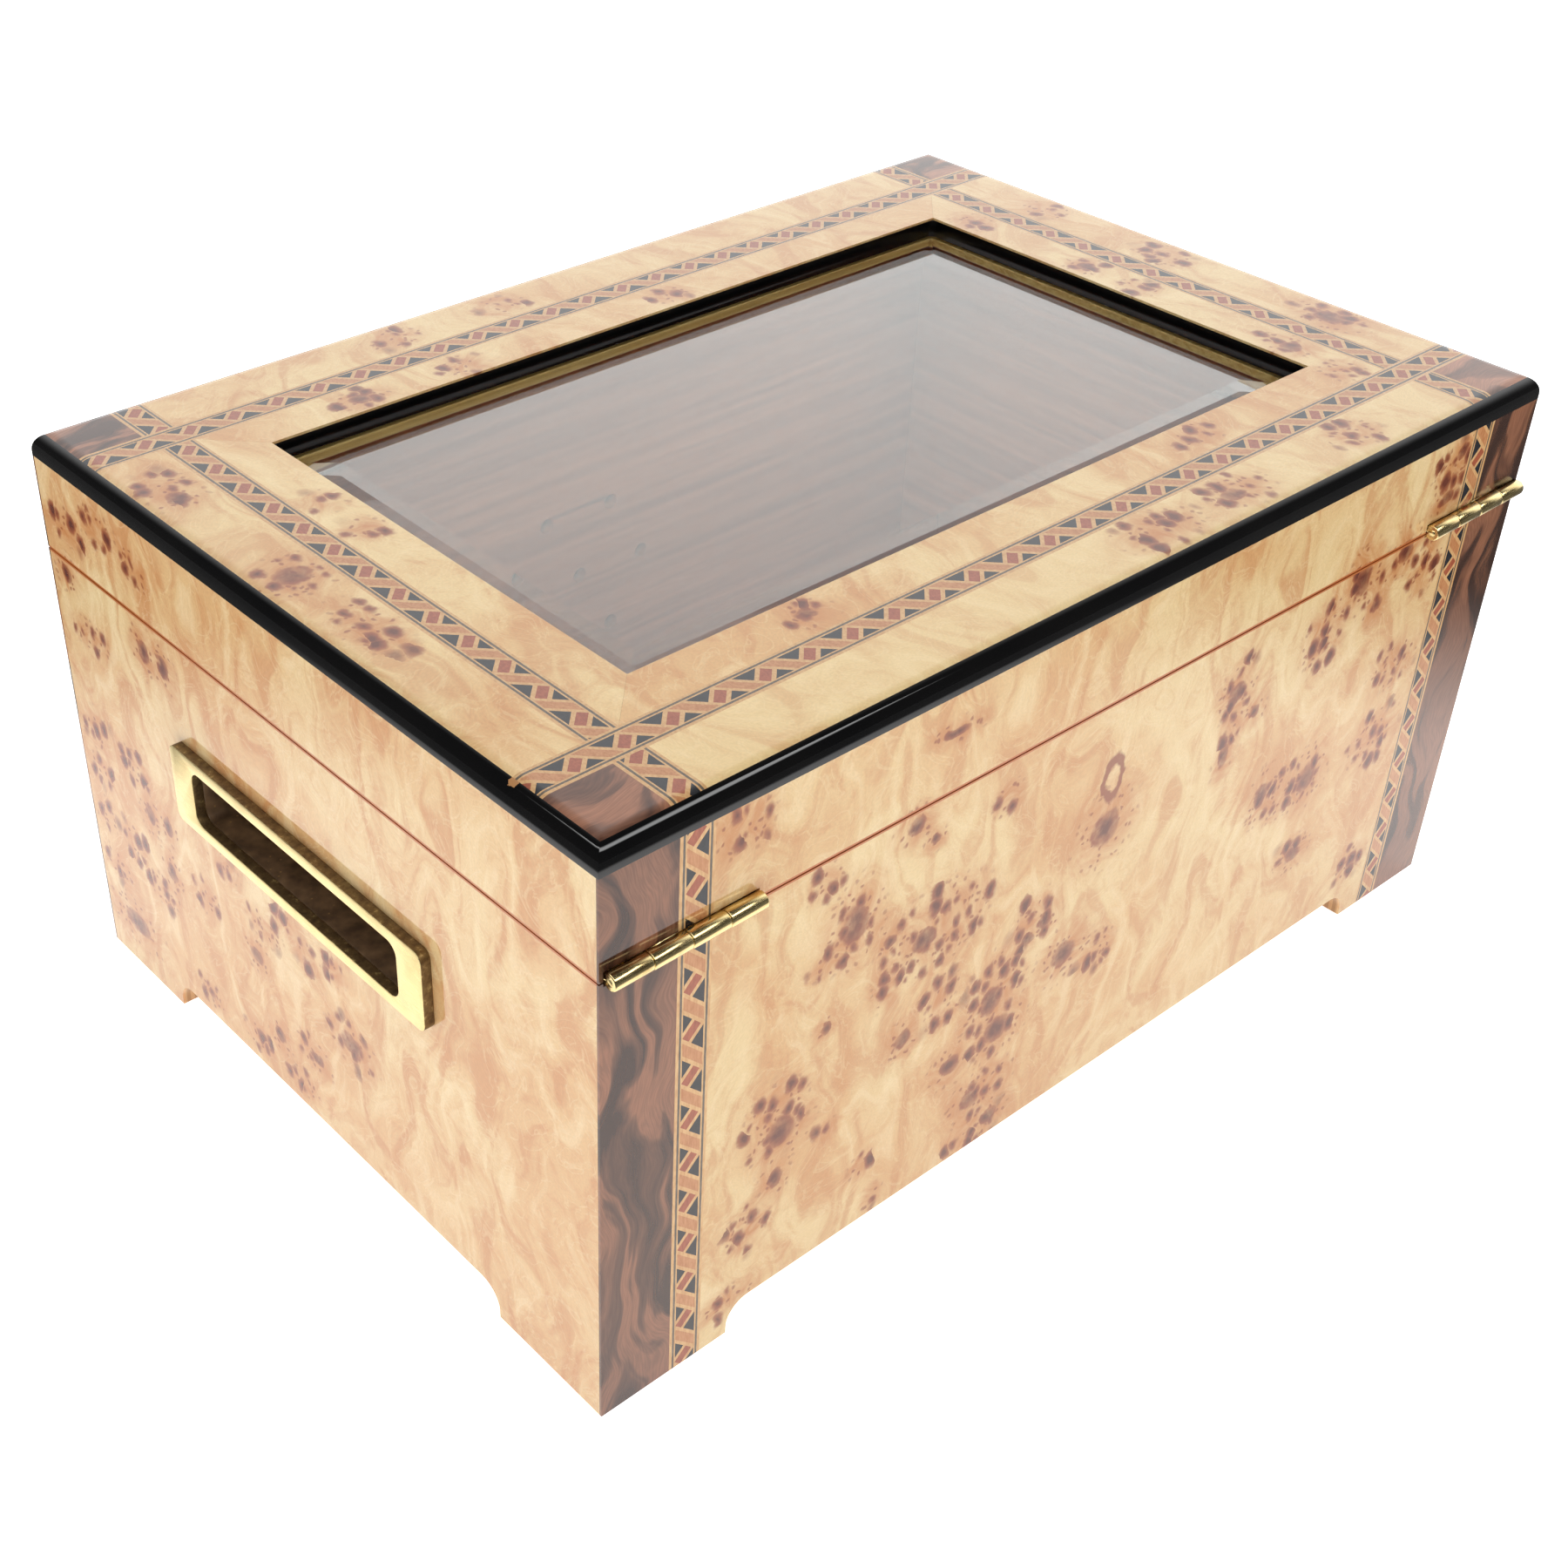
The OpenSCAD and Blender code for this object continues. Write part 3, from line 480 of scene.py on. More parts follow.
def straight_wood(name, pale, dark, grain_axis, line=2.4, roughness=0.55):
    """Plain sawn or sliced wood: straight growth lines with fine fibres, running along one axis."""
    made, add = material(name)
    where = facing(add, FRONT)
    squeeze = [1.0, 1.0, 1.0]
    squeeze["XYZ".index(grain_axis)] = 0.03
    drawn = add("VectorMath.MULTIPLY", {0: where, 1: squeeze})
    lines = add("TexNoise", {"Vector": drawn, "Scale": 1 / line, "Detail": 4.0, "Distortion": 0.4})
    fibres = add("TexNoise", {"Vector": drawn, "Scale": 1 / 0.35, "Detail": 2.0})
    base = add("ValToRGB", {0: lines}, ramp=((0.32, dark), (0.68, pale)))
    shade = add("MapRange", {"Value": fibres, "From Min": 0.3, "From Max": 0.7, "To Min": 0.86,
        "To Max": 1.08})
    base = add("VectorMath.MULTIPLY", {0: base, 1: shade})
    relief = add("Bump", {"Height": fibres, "Strength": 0.25, "Distance": 0.00008})
    gloss = add("MapRange", {"Value": lines, "To Min": roughness - 0.08, "To Max": roughness + 0.08})
    surface(add, Base_Color=base, Roughness=gloss, Normal=relief)
    return made


def dyed_slip(name, pale, dark):
    """One of the marquetry's dyed veneer slips under the lacquer: even colour with fine straight fibres."""
    made, add = material(name)
    where = facing(add, FRONT)
    drawn = add("VectorMath.MULTIPLY", {0: where, 1: (1, 0.7, 0.25)})
    fibres = add("TexNoise", {"Vector": drawn, "Scale": 1 / 0.6, "Detail": 3.0})
    base = add("ValToRGB", {0: fibres}, ramp=((0.33, dark), (0.67, pale)))
    surface(add, Base_Color=base, Roughness=0.42, **LACQUER)
    return made


def black_lacquer(name, chip=None):
    """Black polyester lacquer, rubbed to a mirror gloss: deep black, with a slow orange peel of 4 mm and,
    where it was knocked, a chip down to the pale wood."""
    made, add = material(name)
    where = facing(add, FRONT)
    peel = add("TexNoise", {"Vector": where, "Scale": 1 / 4, "Detail": 1.0})
    relief = add("Bump", {"Height": peel, "Strength": 0.06, "Distance": 0.0001})
    cloud = add("TexNoise", {"Vector": where, "Scale": 1 / 30, "Detail": 2.0})
    base = add("ValToRGB", {0: cloud}, ramp=((0.3, "#050506"), (0.7, "#0c0b0b")))
    if chip:
        grit = add("TexNoise", {"Vector": where, "Scale": 1 / 1.2, "Detail": 3.0})
        away = add("VectorMath.DISTANCE", {0: where, 1: chip}).outputs["Value"]
        edge = add("MapRange", {"Value": grit, "To Min": 0.5, "To Max": 2.4})
        hit = add("Math.LESS_THAN", {0: away, 1: edge})
        base = add("Mix.RGBA", {0: hit, 6: base, 7: linear("#b98658")})
    surface(add, Base_Color=base, Roughness=0.35, Coat_Normal=relief, **{**LACQUER, "Coat_Roughness": 0.02})
    return made


def satin_brass(name, lie="X", tarnish=0.35, roughness=0.2):
    """Lacquered brass, fine-brushed along its length: pale gold with faint lines and browner patches."""
    made, add = material(name)
    where = facing(add, FRONT)
    squeeze = [1.0, 1.0, 1.0]
    squeeze["XYZ".index(lie)] = 0.04
    drawn = add("VectorMath.MULTIPLY", {0: where, 1: squeeze})
    brush = add("TexNoise", {"Vector": drawn, "Scale": 1 / 0.25, "Detail": 3.0})
    patch = add("TexNoise", {"Vector": where, "Scale": 1 / 6, "Detail": 4.0})
    age = add("MapRange", {"Value": patch, "From Min": 0.45, "From Max": 0.75, "To Max": tarnish})
    base = add("Mix.RGBA", {0: age, 6: linear("#e8d297"), 7: linear("#b48c50")})
    gloss = add("MapRange", {"Value": brush, "From Min": 0.3, "From Max": 0.7, "To Min": roughness - 0.06,
        "To Max": roughness + 0.1})
    relief = add("Bump", {"Height": brush, "Strength": 0.12, "Distance": 0.00003})
    surface(add, Base_Color=base, Metallic=1.0, Roughness=gloss, Normal=relief)
    return made


def patina_and_painted_reflection_brass(name):
    """Sawn brass edges: a dull brown that is partly patina and partly painted reflection of the dark room
    these faces mirror, with pale specks and streaks.
    """
    made, add = material(name)
    where = facing(add, FRONT)
    patch = add("TexNoise", {"Vector": where, "Scale": 1 / 2.2, "Detail": 5.0, "Roughness": 0.7})
    base = add("ValToRGB", {0: patch}, ramp=((0.32, "#5d4930"), (0.6, "#87704a"), (0.72, "#cdb87e")))
    gloss = add("MapRange", {"Value": patch, "To Min": 0.55, "To Max": 0.3})
    relief = add("Bump", {"Height": patch, "Strength": 0.3, "Distance": 0.0001})
    surface(add, Base_Color=base, Metallic=0.7, Roughness=gloss, Normal=relief)
    return made


def bronzed_steel(name):
    """Pressed steel, bronzed nearly black: dull brown with pale specks where the bronzing is thin."""
    made, add = material(name)
    where = facing(add, FRONT)
    patch = add("TexNoise", {"Vector": where, "Scale": 1 / 5, "Detail": 5.0})
    base = add("ValToRGB", {0: patch}, ramp=((0.3, "#4e3b29"), (0.7, "#86694b")))
    flakes = add("TexVoronoi", {"Vector": where, "Scale": 1 / 1.6})
    luck = add("SeparateColor", {0: flakes.outputs["Color"]})
    few = add("Math.GREATER_THAN", {0: luck.outputs["Red"], 1: 0.86})
    spot = add("MapRange", {"Value": flakes.outputs["Distance"], "From Min": 0.12, "From Max": 0.26,
        "To Min": 0.75, "To Max": 0.0})
    spot = add("Math.MULTIPLY", {0: spot, 1: few})
    base = add("Mix.RGBA", {0: spot, 6: base, 7: linear("#b08d58")})
    gloss = add("MapRange", {"Value": patch, "To Min": 0.28, "To Max": 0.5})
    surface(add, Base_Color=base, Metallic=0.25, Roughness=gloss)
    return made


def plate_glass(name):
    """Clear float glass, ground and polished at its bevel, faintly green in its thickness. Light from the
    lamps passes it without caustics, so that what is behind it is lit evenly."""
    made, add = material(name)
    where = facing(add, FRONT)
    wave = add("TexNoise", {"Vector": where, "Scale": 1 / 90, "Detail": 1.0})
    relief = add("Bump", {"Height": wave, "Strength": 0.05, "Distance": 0.0005})
    glass = add("BsdfPrincipled", {"Base Color": linear("#f4faf6"), "Roughness": 0.0,
        "Transmission Weight": 1.0, "IOR": 1.52, "Normal": relief})
    clear = add("BsdfTransparent", {"Color": linear("#eef6f1")})
    path = add("LightPath")
    both = add("MixShader", {0: path.outputs["Is Shadow Ray"], 1: glass, 2: clear})
    add("OutputMaterial", {"Surface": both})
    return made


def wool_felt(name):
    """Pressed wool felt, dyed black: matt, with a fuzz of short fibres in all directions."""
    made, add = material(name)
    where = facing(add, FRONT)
    fuzz = add("TexNoise", {"Vector": where, "Scale": 1 / 0.5, "Detail": 6.0, "Distortion": 1.5})
    base = add("ValToRGB", {0: fuzz}, ramp=((0.3, "#141211"), (0.7, "#3a3532")))
    relief = add("Bump", {"Height": fuzz, "Strength": 0.8, "Distance": 0.0003})
    surface(add, Base_Color=base, Roughness=0.95, Normal=relief, Sheen_Weight=0.4)
    return made


def printed_enamel(name):
    """Stove-enamelled dial: warm white and smooth, yellowed a little towards the rim."""
    made, add = material(name)
    where = facing(add, FRONT)
    away = add("VectorMath.DISTANCE", {0: where, 1: (0, -HALF_D, 80)}).outputs["Value"]
    age = add("MapRange", {"Value": away, "From Min": 18, "From Max": 33})
    stain = add("TexNoise", {"Vector": where, "Scale": 1 / 8, "Detail": 4.0})
    both = add("Math.MULTIPLY", {0: age, 1: stain})
    base = add("Mix.RGBA", {0: both, 6: linear("#f1ead6"), 7: linear("#d8c596")})
    gloss = add("MapRange", {"Value": stain, "To Min": 0.2, "To Max": 0.35})
    surface(add, Base_Color=base, Roughness=gloss)
    return made


def blued_steel(name):
    """Spring steel, tempered blue-black: a dark metal with a slight violet cast."""
    made, add = material(name)
    where = facing(add, FRONT)
    heat = add("TexNoise", {"Vector": where, "Scale": 1 / 9, "Detail": 2.0})
    base = add("ValToRGB", {0: heat}, ramp=((0.3, "#10141f"), (0.7, "#262339")))
    gloss = add("MapRange", {"Value": heat, "To Min": 0.22, "To Max": 0.34})
    surface(add, Base_Color=base, Metallic=0.9, Roughness=gloss)
    return made


def bright_copper(name):
    """Rolled copper strip: pink-brown metal, mottled by handling."""
    made, add = material(name)
    where = facing(add, FRONT)
    mark = add("TexNoise", {"Vector": where, "Scale": 1 / 3, "Detail": 4.0})
    base = add("ValToRGB", {0: mark}, ramp=((0.3, "#a3623f"), (0.7, "#cf8b62")))
    gloss = add("MapRange", {"Value": mark, "To Min": 0.25, "To Max": 0.45})
    surface(add, Base_Color=base, Metallic=1.0, Roughness=gloss)
    return made


# ---------------------------------------------------------------- shapes


def rounded_drop(across):
    """How far the rounded lid edge has fallen at a distance in from its outer edge, in millimetres."""
    radius = bpy.context.scene.chest_sizes.edge_radius / MM
    return radius - math.sqrt(radius**2 - (radius - across) ** 2) if across < radius else 0.0


def lay(bm):
    """Lays a flat sheet, in millimetres, on the lid's board. Its top follows the lid's rounded border."""
    radius = bpy.context.scene.chest_sizes.edge_radius / MM
    steps = 5
    inner_edge = 3.4
    for axis, half in ((0, HALF_W), (1, HALF_D)):
        for i in range(steps):
            for sign in (-1, 1):
                normal = Vector((0, 0, 0))
                normal[axis] = 1
                at = normal * sign * (half - inner_edge - (radius - inner_edge) * (i + 1) / steps)
                bmesh.ops.bisect_plane(bm, geom=[*bm.verts, *bm.edges, *bm.faces], dist=1e-5, plane_co=at,
                    plane_no=normal)
    for v in bm.verts:
        across = min(HALF_W - abs(v.co.x), HALF_D - abs(v.co.y))
        v.co.z = TOP_Z - rounded_drop(max(across, 0.0))
    return deepen(bm, (0, 0, 0), BOARD_TOP)


def deepen(bm, by, level=None):
    """Gives a sheet its thickness: a copy of it moves away, or down to a level, and walls join the two."""
    made = bmesh.ops.extrude_face_region(bm, geom=bm.faces[:], use_keep_orig=True)
    moved = [v for v in made["geom"] if isinstance(v, bmesh.types.BMVert)]
    bmesh.ops.translate(bm, verts=moved, vec=by)
    if level is not None:
        for v in moved:
            v.co.z = level
    bmesh.ops.recalc_face_normals(bm, faces=bm.faces)
    return bm


def sheet(x0, x1, y0, y1):
    """One flat rectangle as a mesh."""
    bm = bmesh.new()
    bmesh.ops.create_grid(bm, x_segments=1, y_segments=1, size=0.5)
    bmesh.ops.scale(bm, vec=(x1 - x0, y1 - y0, 1), verts=bm.verts)
    bmesh.ops.translate(bm, vec=((x0 + x1) / 2, (y0 + y1) / 2, 0), verts=bm.verts)
    return bm


def join(parts):
    """Puts several meshes into one, keeping their materials' numbers."""
    whole = bmesh.new()
    for part in parts:
        mesh = bpy.data.meshes.new("part")
        part.to_mesh(mesh)
        part.free()
        whole.from_mesh(mesh)
        bpy.data.meshes.remove(mesh)
    return whole


# The slips' places in the marquetry's list of materials
CREAM, LINE, TAN, RED, BLACK = range(5)
# The marquetry across its 11 mm, from its inner side outwards: cream, dark, light, field, light, dark, cream
LINE_WIDTHS = (0.85, 0.7, 0.5, 6.8, 0.45, 0.7, 1.0)
LINE_SLIPS = (CREAM, LINE, CREAM, None, CREAM, LINE, CREAM)
BAND_WIDTH = sum(LINE_WIDTHS)
FIELD_LOW = sum(LINE_WIDTHS[:3])
FIELD_HIGH = FIELD_LOW + LINE_WIDTHS[3]
# Widths along the band of the long bar's and the cross bar's slips, which lie at 45 degrees
LONG_BAR = ((0.0, CREAM), (1.5, TAN), (5.6, CREAM), (7.1, None))
CROSS_BAR = ((0.0, CREAM), (1.7, RED), (5.9, CREAM), (7.6, None))


def slip_at(along, up, repeat):
    """Which slip of the marquetry's field lies at a point along the band and up from its inner edge."""
    lean = (along - up) % repeat
    for start, slip in reversed(LONG_BAR[:-1]):
        if start <= lean < LONG_BAR[-1][0]:
            return slip
    cell = math.floor((along - up) / repeat) * repeat
    cross = along + up - cell - repeat
    if 0 <= cross < CROSS_BAR[-1][0]:
        for start, slip in reversed(CROSS_BAR[:-1]):
            if cross >= start:
                return slip
    return BLACK


def band(length, phase, turned=False):
    """A length of marquetry as a flat mosaic of slips, in millimetres. X runs along it from its middle and Y
    from its inner side outwards. Turned, its field is rotated by half a turn."""
    repeat = bpy.context.scene.chest_sizes.band_repeat / MM
    bm = sheet(-length / 2, length / 2, 0, BAND_WIDTH)
    level = 0.0
    for width in LINE_WIDTHS[:-1]:
        level += width
        bmesh.ops.bisect_plane(bm, geom=[*bm.verts, *bm.edges, *bm.faces], dist=1e-5, plane_co=(0, level, 0),
            plane_no=(0, 1, 0))
    middle = Vector((0, (FIELD_LOW + FIELD_HIGH) / 2, 0))
    flip = -1 if turned else 1
    reach = int(length / repeat / 2) + 2
    for i in range(-reach, reach + 1):
        for bars, slope in ((LONG_BAR, -1), (CROSS_BAR, 1)):
            for start, _ in bars:
                shift = i * repeat + start + phase % repeat
                # A line where along + slope * up is constant, seen from the field's inner edge
                foot = Vector((shift, FIELD_LOW, 0))
                foot = middle + flip * (foot - middle)
                field = [f for f in bm.faces if FIELD_LOW < f.calc_center_median().y < FIELD_HIGH]
                edges = {e for f in field for e in f.edges}
                verts = {v for f in field for v in f.verts}
                bmesh.ops.bisect_plane(bm, geom=[*verts, *edges, *field], dist=1e-4, plane_co=foot,
                    plane_no=(1, slope, 0))
    for face in bm.faces:
        at = face.calc_center_median()
        level = 0.0
        for width, slip in zip(LINE_WIDTHS, LINE_SLIPS):
            if at.y < level + width:
                break
            level += width
        if slip is None:
            inner = middle + flip * (at - middle)
            slip = slip_at(inner.x - phase, inner.y - FIELD_LOW, repeat)
        face.material_index = slip
    return bm


def placed(bm, along, outwards, middle):
    """Lays a band: its length along one direction, its outer edge towards another, its foot at a point."""
    face = Vector(along).cross(Vector(outwards))
    turn = Matrix((Vector(along), Vector(outwards), face)).transposed().to_4x4()
    turn.translation = Vector(middle)
    bm.transform(turn)
    return bm


def shrink(bm):
    """Takes a mesh from millimetres to metres."""
    bmesh.ops.scale(bm, vec=(MM, MM, MM), verts=bm.verts)
    return bm


def solids(node):
    """The boxes of a CAD node's separate solids, as (low, high) in millimetres."""
    bm = merged_copy(node)
    boxes, left = [], set(bm.verts)
    while left:
        todo, seen = [left.pop()], []
        while todo:
            v = todo.pop()
            seen.append(v.co.copy() / MM)
            for e in v.link_edges:
                other = e.other_vert(v)
                if other in left:
                    left.remove(other)
                    todo.append(other)
        boxes.append((Vector(map(min, zip(*seen))), Vector(map(max, zip(*seen)))))
    bm.free()
    return boxes


def turned_shape(profile, centre, steps=96):
    """Spins an outline of (radius, height) pairs in millimetres round an axis that points to the front."""
    bm = bmesh.new()
    points = [bm.verts.new((radius * MM, -height * MM, 0)) for radius, height in profile]
    edges = [bm.edges.new((points[i], points[(i + 1) % len(points)])) for i in range(len(points))]
    bmesh.ops.spin(bm, geom=[*points, *edges], cent=(0, 0, 0), axis=(0, 1, 0), dvec=(0, 0, 0),
        angle=math.tau, steps=steps, use_merge=True, use_duplicate=False)
    bmesh.ops.remove_doubles(bm, verts=bm.verts, dist=1e-6)
    bmesh.ops.recalc_face_normals(bm, faces=bm.faces)
    bmesh.ops.translate(bm, vec=centre, verts=bm.verts)
    return bm


# ---------------------------------------------------------------- operators


class ChestOperator:
    """What the operators share."""

    bl_options = {"REGISTER", "UNDO"}


class CHEST_OT_case(ChestOperator, bpy.types.Operator):
    """Veneer the case and the lid's sides with burl, and their corners with walnut"""

    bl_idname = "chest.case"
    bl_label = "Veneer the Case"

    def execute(self, context):
        names = ("front", "right", "back", "left")
        for side, name in enumerate(names):
            long_side = side % 2 == 0
            half = HALF_W if long_side else HALF_D
            groups = face_spots(BACK_GROUPS if long_side else SIDE_GROUPS, half)
            knots = face_spots(BACK_KNOTS if long_side else SIDE_KNOTS, half)
            rings = face_spots(BACK_RINGS, half) if long_side else ()
            finish = burl_veneer(f"burl_veneer_{name}_gloss_lacquer", side, groups, knots, rings,
                cream_share=0.5 if long_side else 0.4, warmth=0.5 if long_side else 0.62,
                tint="#f5f3ef" if long_side else "#ffffff")
            dress(finish, f"{name}_wall", f"lid_{name}_side")
        dress(walnut_veneer("walnut_veneer_gloss_lacquer", BACK), "case_corner_strips", "lid_corner_strips")
        dress(straight_wood("birch_plywood_raw", "#c7a071", "#a88155", "X"), "bottom_panel")
        return {"FINISHED"}


class CHEST_OT_bands(ChestOperator, bpy.types.Operator):
    """Lay the marquetry bands on the case, the lid's sides and the lid's top"""

    bl_idname = "chest.bands"
    bl_label = "Lay the Marquetry"

    def execute(self, context):
        slips = (
            dyed_slip("maple_slip_lacquered", "#d6ad78", "#c4935f"),
            dyed_slip("grey_line_lacquered", "#6d604f", "#54493c"),
            dyed_slip("tan_slip_lacquered", "#c58c5d", "#b27548"),
            dyed_slip("red_slip_lacquered", "#a85a3c", "#92482f"),
            dyed_slip("black_slip_lacquered", "#26262b", "#15161a"),
        )
        # Back band, and the front one turned by half a turn
        long_parts, short_parts = [], []
        for low, high in solids("lid_long_bands"):
            sign = 1 if high.y > 0 else -1
            inner = low.y if sign > 0 else high.y
            part = band(high.x - low.x, 7.0 if sign > 0 else 3.0)
            bmesh.ops.scale(part, vec=(-1, 1, 1), verts=part.verts)
            turn = Matrix.Rotation(0 if sign > 0 else math.pi, 3, "Z")
            bmesh.ops.rotate(part, matrix=turn, verts=part.verts)
            bmesh.ops.translate(part, vec=(0, inner, TOP_Z), verts=part.verts)
            long_parts.append(lay(part))
        for low, high in solids("lid_short_bands"):
            sign = 1 if high.x > 0 else -1
            inner = low.x if sign > 0 else high.x
            start = -1.3 if low.y < 0 < high.y else 8.4
            part = band(high.y - low.y, start + (high.y + low.y) / 2 * sign, turned=True)
            placed(part, (0, -sign, 0), (sign, 0, 0), (inner, (low.y + high.y) / 2, TOP_Z))
            short_parts.append(lay(part))
        for parts, name in ((long_parts, "long"), (short_parts, "short")):
            piece(f"{name}_marquetry_bands", shrink(join(parts)), "lid", slips,
                [f"lid_{name}_bands"])
        for node, body, name in (("case_inlay_bands", "case", "case_marquetry_bands"),
                ("lid_side_bands", "lid", "lid_side_marquetry_bands")):
            parts = []
            for low, high in solids(node):
                back = high.y > 0
                right = high.x > 0
                z0, z1 = low.z, high.z
                if back and body == "case":
                    z1 = HINGE_Z - GROOVE_REACH
                elif back:
                    z0 = HINGE_Z + GROOVE_REACH
                part = band(z1 - z0, 4.0 - (z0 + z1) / 2)
                outwards = 1 if right else -1
                inner = low.x if right else high.x
                face_y = high.y if back else low.y
                upright = 1 if right == back else -1
                placed(part, (0, 0, upright), (outwards, 0, 0), (inner, face_y, (z0 + z1) / 2))
                parts.append(deepen(part, Vector((0, -0.8 if back else 0.8, 0))))
            piece(name, shrink(join(parts)), body, slips, [node])
        return {"FINISHED"}


class CHEST_OT_lid_top(ChestOperator, bpy.types.Operator):
    """Lay the burl veneers, the walnut squares and the black edging on the lid"""

    bl_idname = "chest.lid_top"
    bl_label = "Veneer the Lid Top"

    def execute(self, context):
        sizes = context.scene.chest_sizes
        spots = {"side": None, "groups": TOP_GROUPS, "knots": TOP_KNOTS, "tint": TOP_TINT}
        outer = burl_veneer("burl_veneer_lid_border_gloss_lacquer", **spots, cream_share=0.5, warmth=0.5)
        pale = burl_veneer("burl_veneer_lid_back_gloss_lacquer", **spots, cream_share=0.8, warmth=0.3)
        inner = burl_veneer("burl_veneer_lid_inside_gloss_lacquer", **spots, cream_share=0.62, warmth=0.45,
            swap=-0.2)
        walnut = walnut_veneer("walnut_squares_gloss_lacquer", None, lift=1.5)
        for node, finishes, name, slot in (
            ("lid_outer_veneers", [outer, pale], "lid_border_veneers", "burl_veneer"),
            ("lid_corner_squares", [walnut], "walnut_corner_squares", "walnut"),
        ):
            parts = []
            for low, high in solids(node):
                part = lay(sheet(low.x, high.x, low.y, high.y))
                for face in part.faces:
                    face.material_index = int(len(finishes) > 1 and low.y > HALF_D / 2)
                parts.append(part)
            piece(name, shrink(join(parts)), "lid", finishes, [node])
        dress(inner, "lid_inner_veneers")

        # The edging: a slab whose top edges are rounded, cut back to a frame
        width = 3.4
        bm = bmesh.new()
        bmesh.ops.create_cube(bm, size=1)
        bmesh.ops.scale(bm, vec=(2 * HALF_W, 2 * HALF_D, TOP_Z - EDGING_Z), verts=bm.verts)
        bmesh.ops.translate(bm, vec=(0, 0, (TOP_Z + EDGING_Z) / 2), verts=bm.verts)
        top = [e for e in bm.edges if all(v.co.z > TOP_Z - 0.01 for v in e.verts)]
        bmesh.ops.bevel(bm, geom=top, offset=sizes.edge_radius / MM, offset_type="OFFSET",
            segments=sizes.edge_steps, profile=0.5, affect="EDGES", material=-1)
        for axis, half in ((0, HALF_W), (1, HALF_D)):
            for sign in (-1, 1):
                normal = Vector((0, 0, 0))
                normal[axis] = 1
                bmesh.ops.bisect_plane(bm, geom=[*bm.verts, *bm.edges, *bm.faces], dist=1e-5,
                    plane_co=normal * sign * (half - width), plane_no=normal)
        middle = [f for f in bm.faces if abs(f.calc_center_median().x) < HALF_W - width
            and abs(f.calc_center_median().y) < HALF_D - width]
        bmesh.ops.delete(bm, geom=middle, context="FACES")
        open_edges = [e for e in bm.edges if len(e.link_faces) == 1]
        bmesh.ops.bridge_loops(bm, edges=open_edges)
        bmesh.ops.recalc_face_normals(bm, faces=bm.faces)
        chip = (HALF_W - 2.6, HALF_D - 34, TOP_Z - 0.6)
        lacquer = black_lacquer("black_polyester_lacquer", chip)
        piece("black_edging", shrink(bm), "lid", [lacquer], ["lid_edging"])
        return {"FINISHED"}


class CHEST_OT_window(ChestOperator, bpy.types.Operator):
    """Finish the window: its black lip, the bevelled glass, the beads and the rails"""

    bl_idname = "chest.window"
    bl_label = "Glaze the Window"

    def execute(self, context):
        lip = soften(merged_copy("window_lip"), 0.3)
        lacquer = black_lacquer("black_lip_lacquer")
        piece("black_window_lip", lip, "lid", [lacquer], ["window_lip"])
        dress(plate_glass("float_glass_polished_bevel"), "glass_pane")
        dress(straight_wood("ramin_bead_oiled", "#e3bd80", "#c99d60", "X"), "glazing_beads")
        eased(0.5, "glazing_beads")
        rail = straight_wood("poplar_rail_raw", "#c9a87a", "#ab8656", "X")
        dress(rail, "lid_front_rail", "lid_right_rail", "lid_back_rail", "lid_left_rail")
        return {"FINISHED"}


class CHEST_OT_linings(ChestOperator, bpy.types.Operator):
    """Line the case and the lid with cedar"""

    bl_idname = "chest.linings"
    bl_label = "Line with Cedar"

    def execute(self, context):
        across = straight_wood("cedar_lining_long_raw", "#bd7a58", "#98593b", "X", line=5.0)
        deep = straight_wood("cedar_lining_short_raw", "#bd7a58", "#98593b", "Y", line=5.0)
        dress(across, "floor_lining", "front_lining", "back_lining", "lid_lining")
        dress(deep, "right_lining", "left_lining")
        eased(0.6, "front_lining", "right_lining", "back_lining", "left_lining")
        return {"FINISHED"}


class CHEST_OT_handles(ChestOperator, bpy.types.Operator):
    """Finish the brass grips and their bronzed cups on both sides"""

    bl_idname = "chest.handles"
    bl_label = "Fit the Grips"

    def execute(self, context):
        brass = satin_brass("brass_grip_brushed", "Y", tarnish=0.25, roughness=0.3)
        edge_patina_and_reflection = patina_and_painted_reflection_brass("brass_grip_edges_patina_and_painted_reflection")
        bronze = bronzed_steel("steel_cup_bronzed")
        width = context.scene.chest_sizes.brass_round / MM
        for side in ("right", "left"):
            grip = soften(merged_copy(f"{side}_handle_frame"), width, segments=3)
            # Faces that don't face out from the wall take the brown edge finish, which is patina and painted
            # dark reflection
            for face in grip.faces:
                face.material_index = int(abs(face.normal.x) < 0.5)
            piece(f"{side}_brass_grip", grip, "case", [brass, edge_patina_and_reflection], [f"{side}_handle_frame"])
            cup = soften(merged_copy(f"{side}_handle_cup"), 0.35)
            piece(f"{side}_bronzed_cup", cup, "case", [bronze], [f"{side}_handle_cup"])
        return {"FINISHED"}


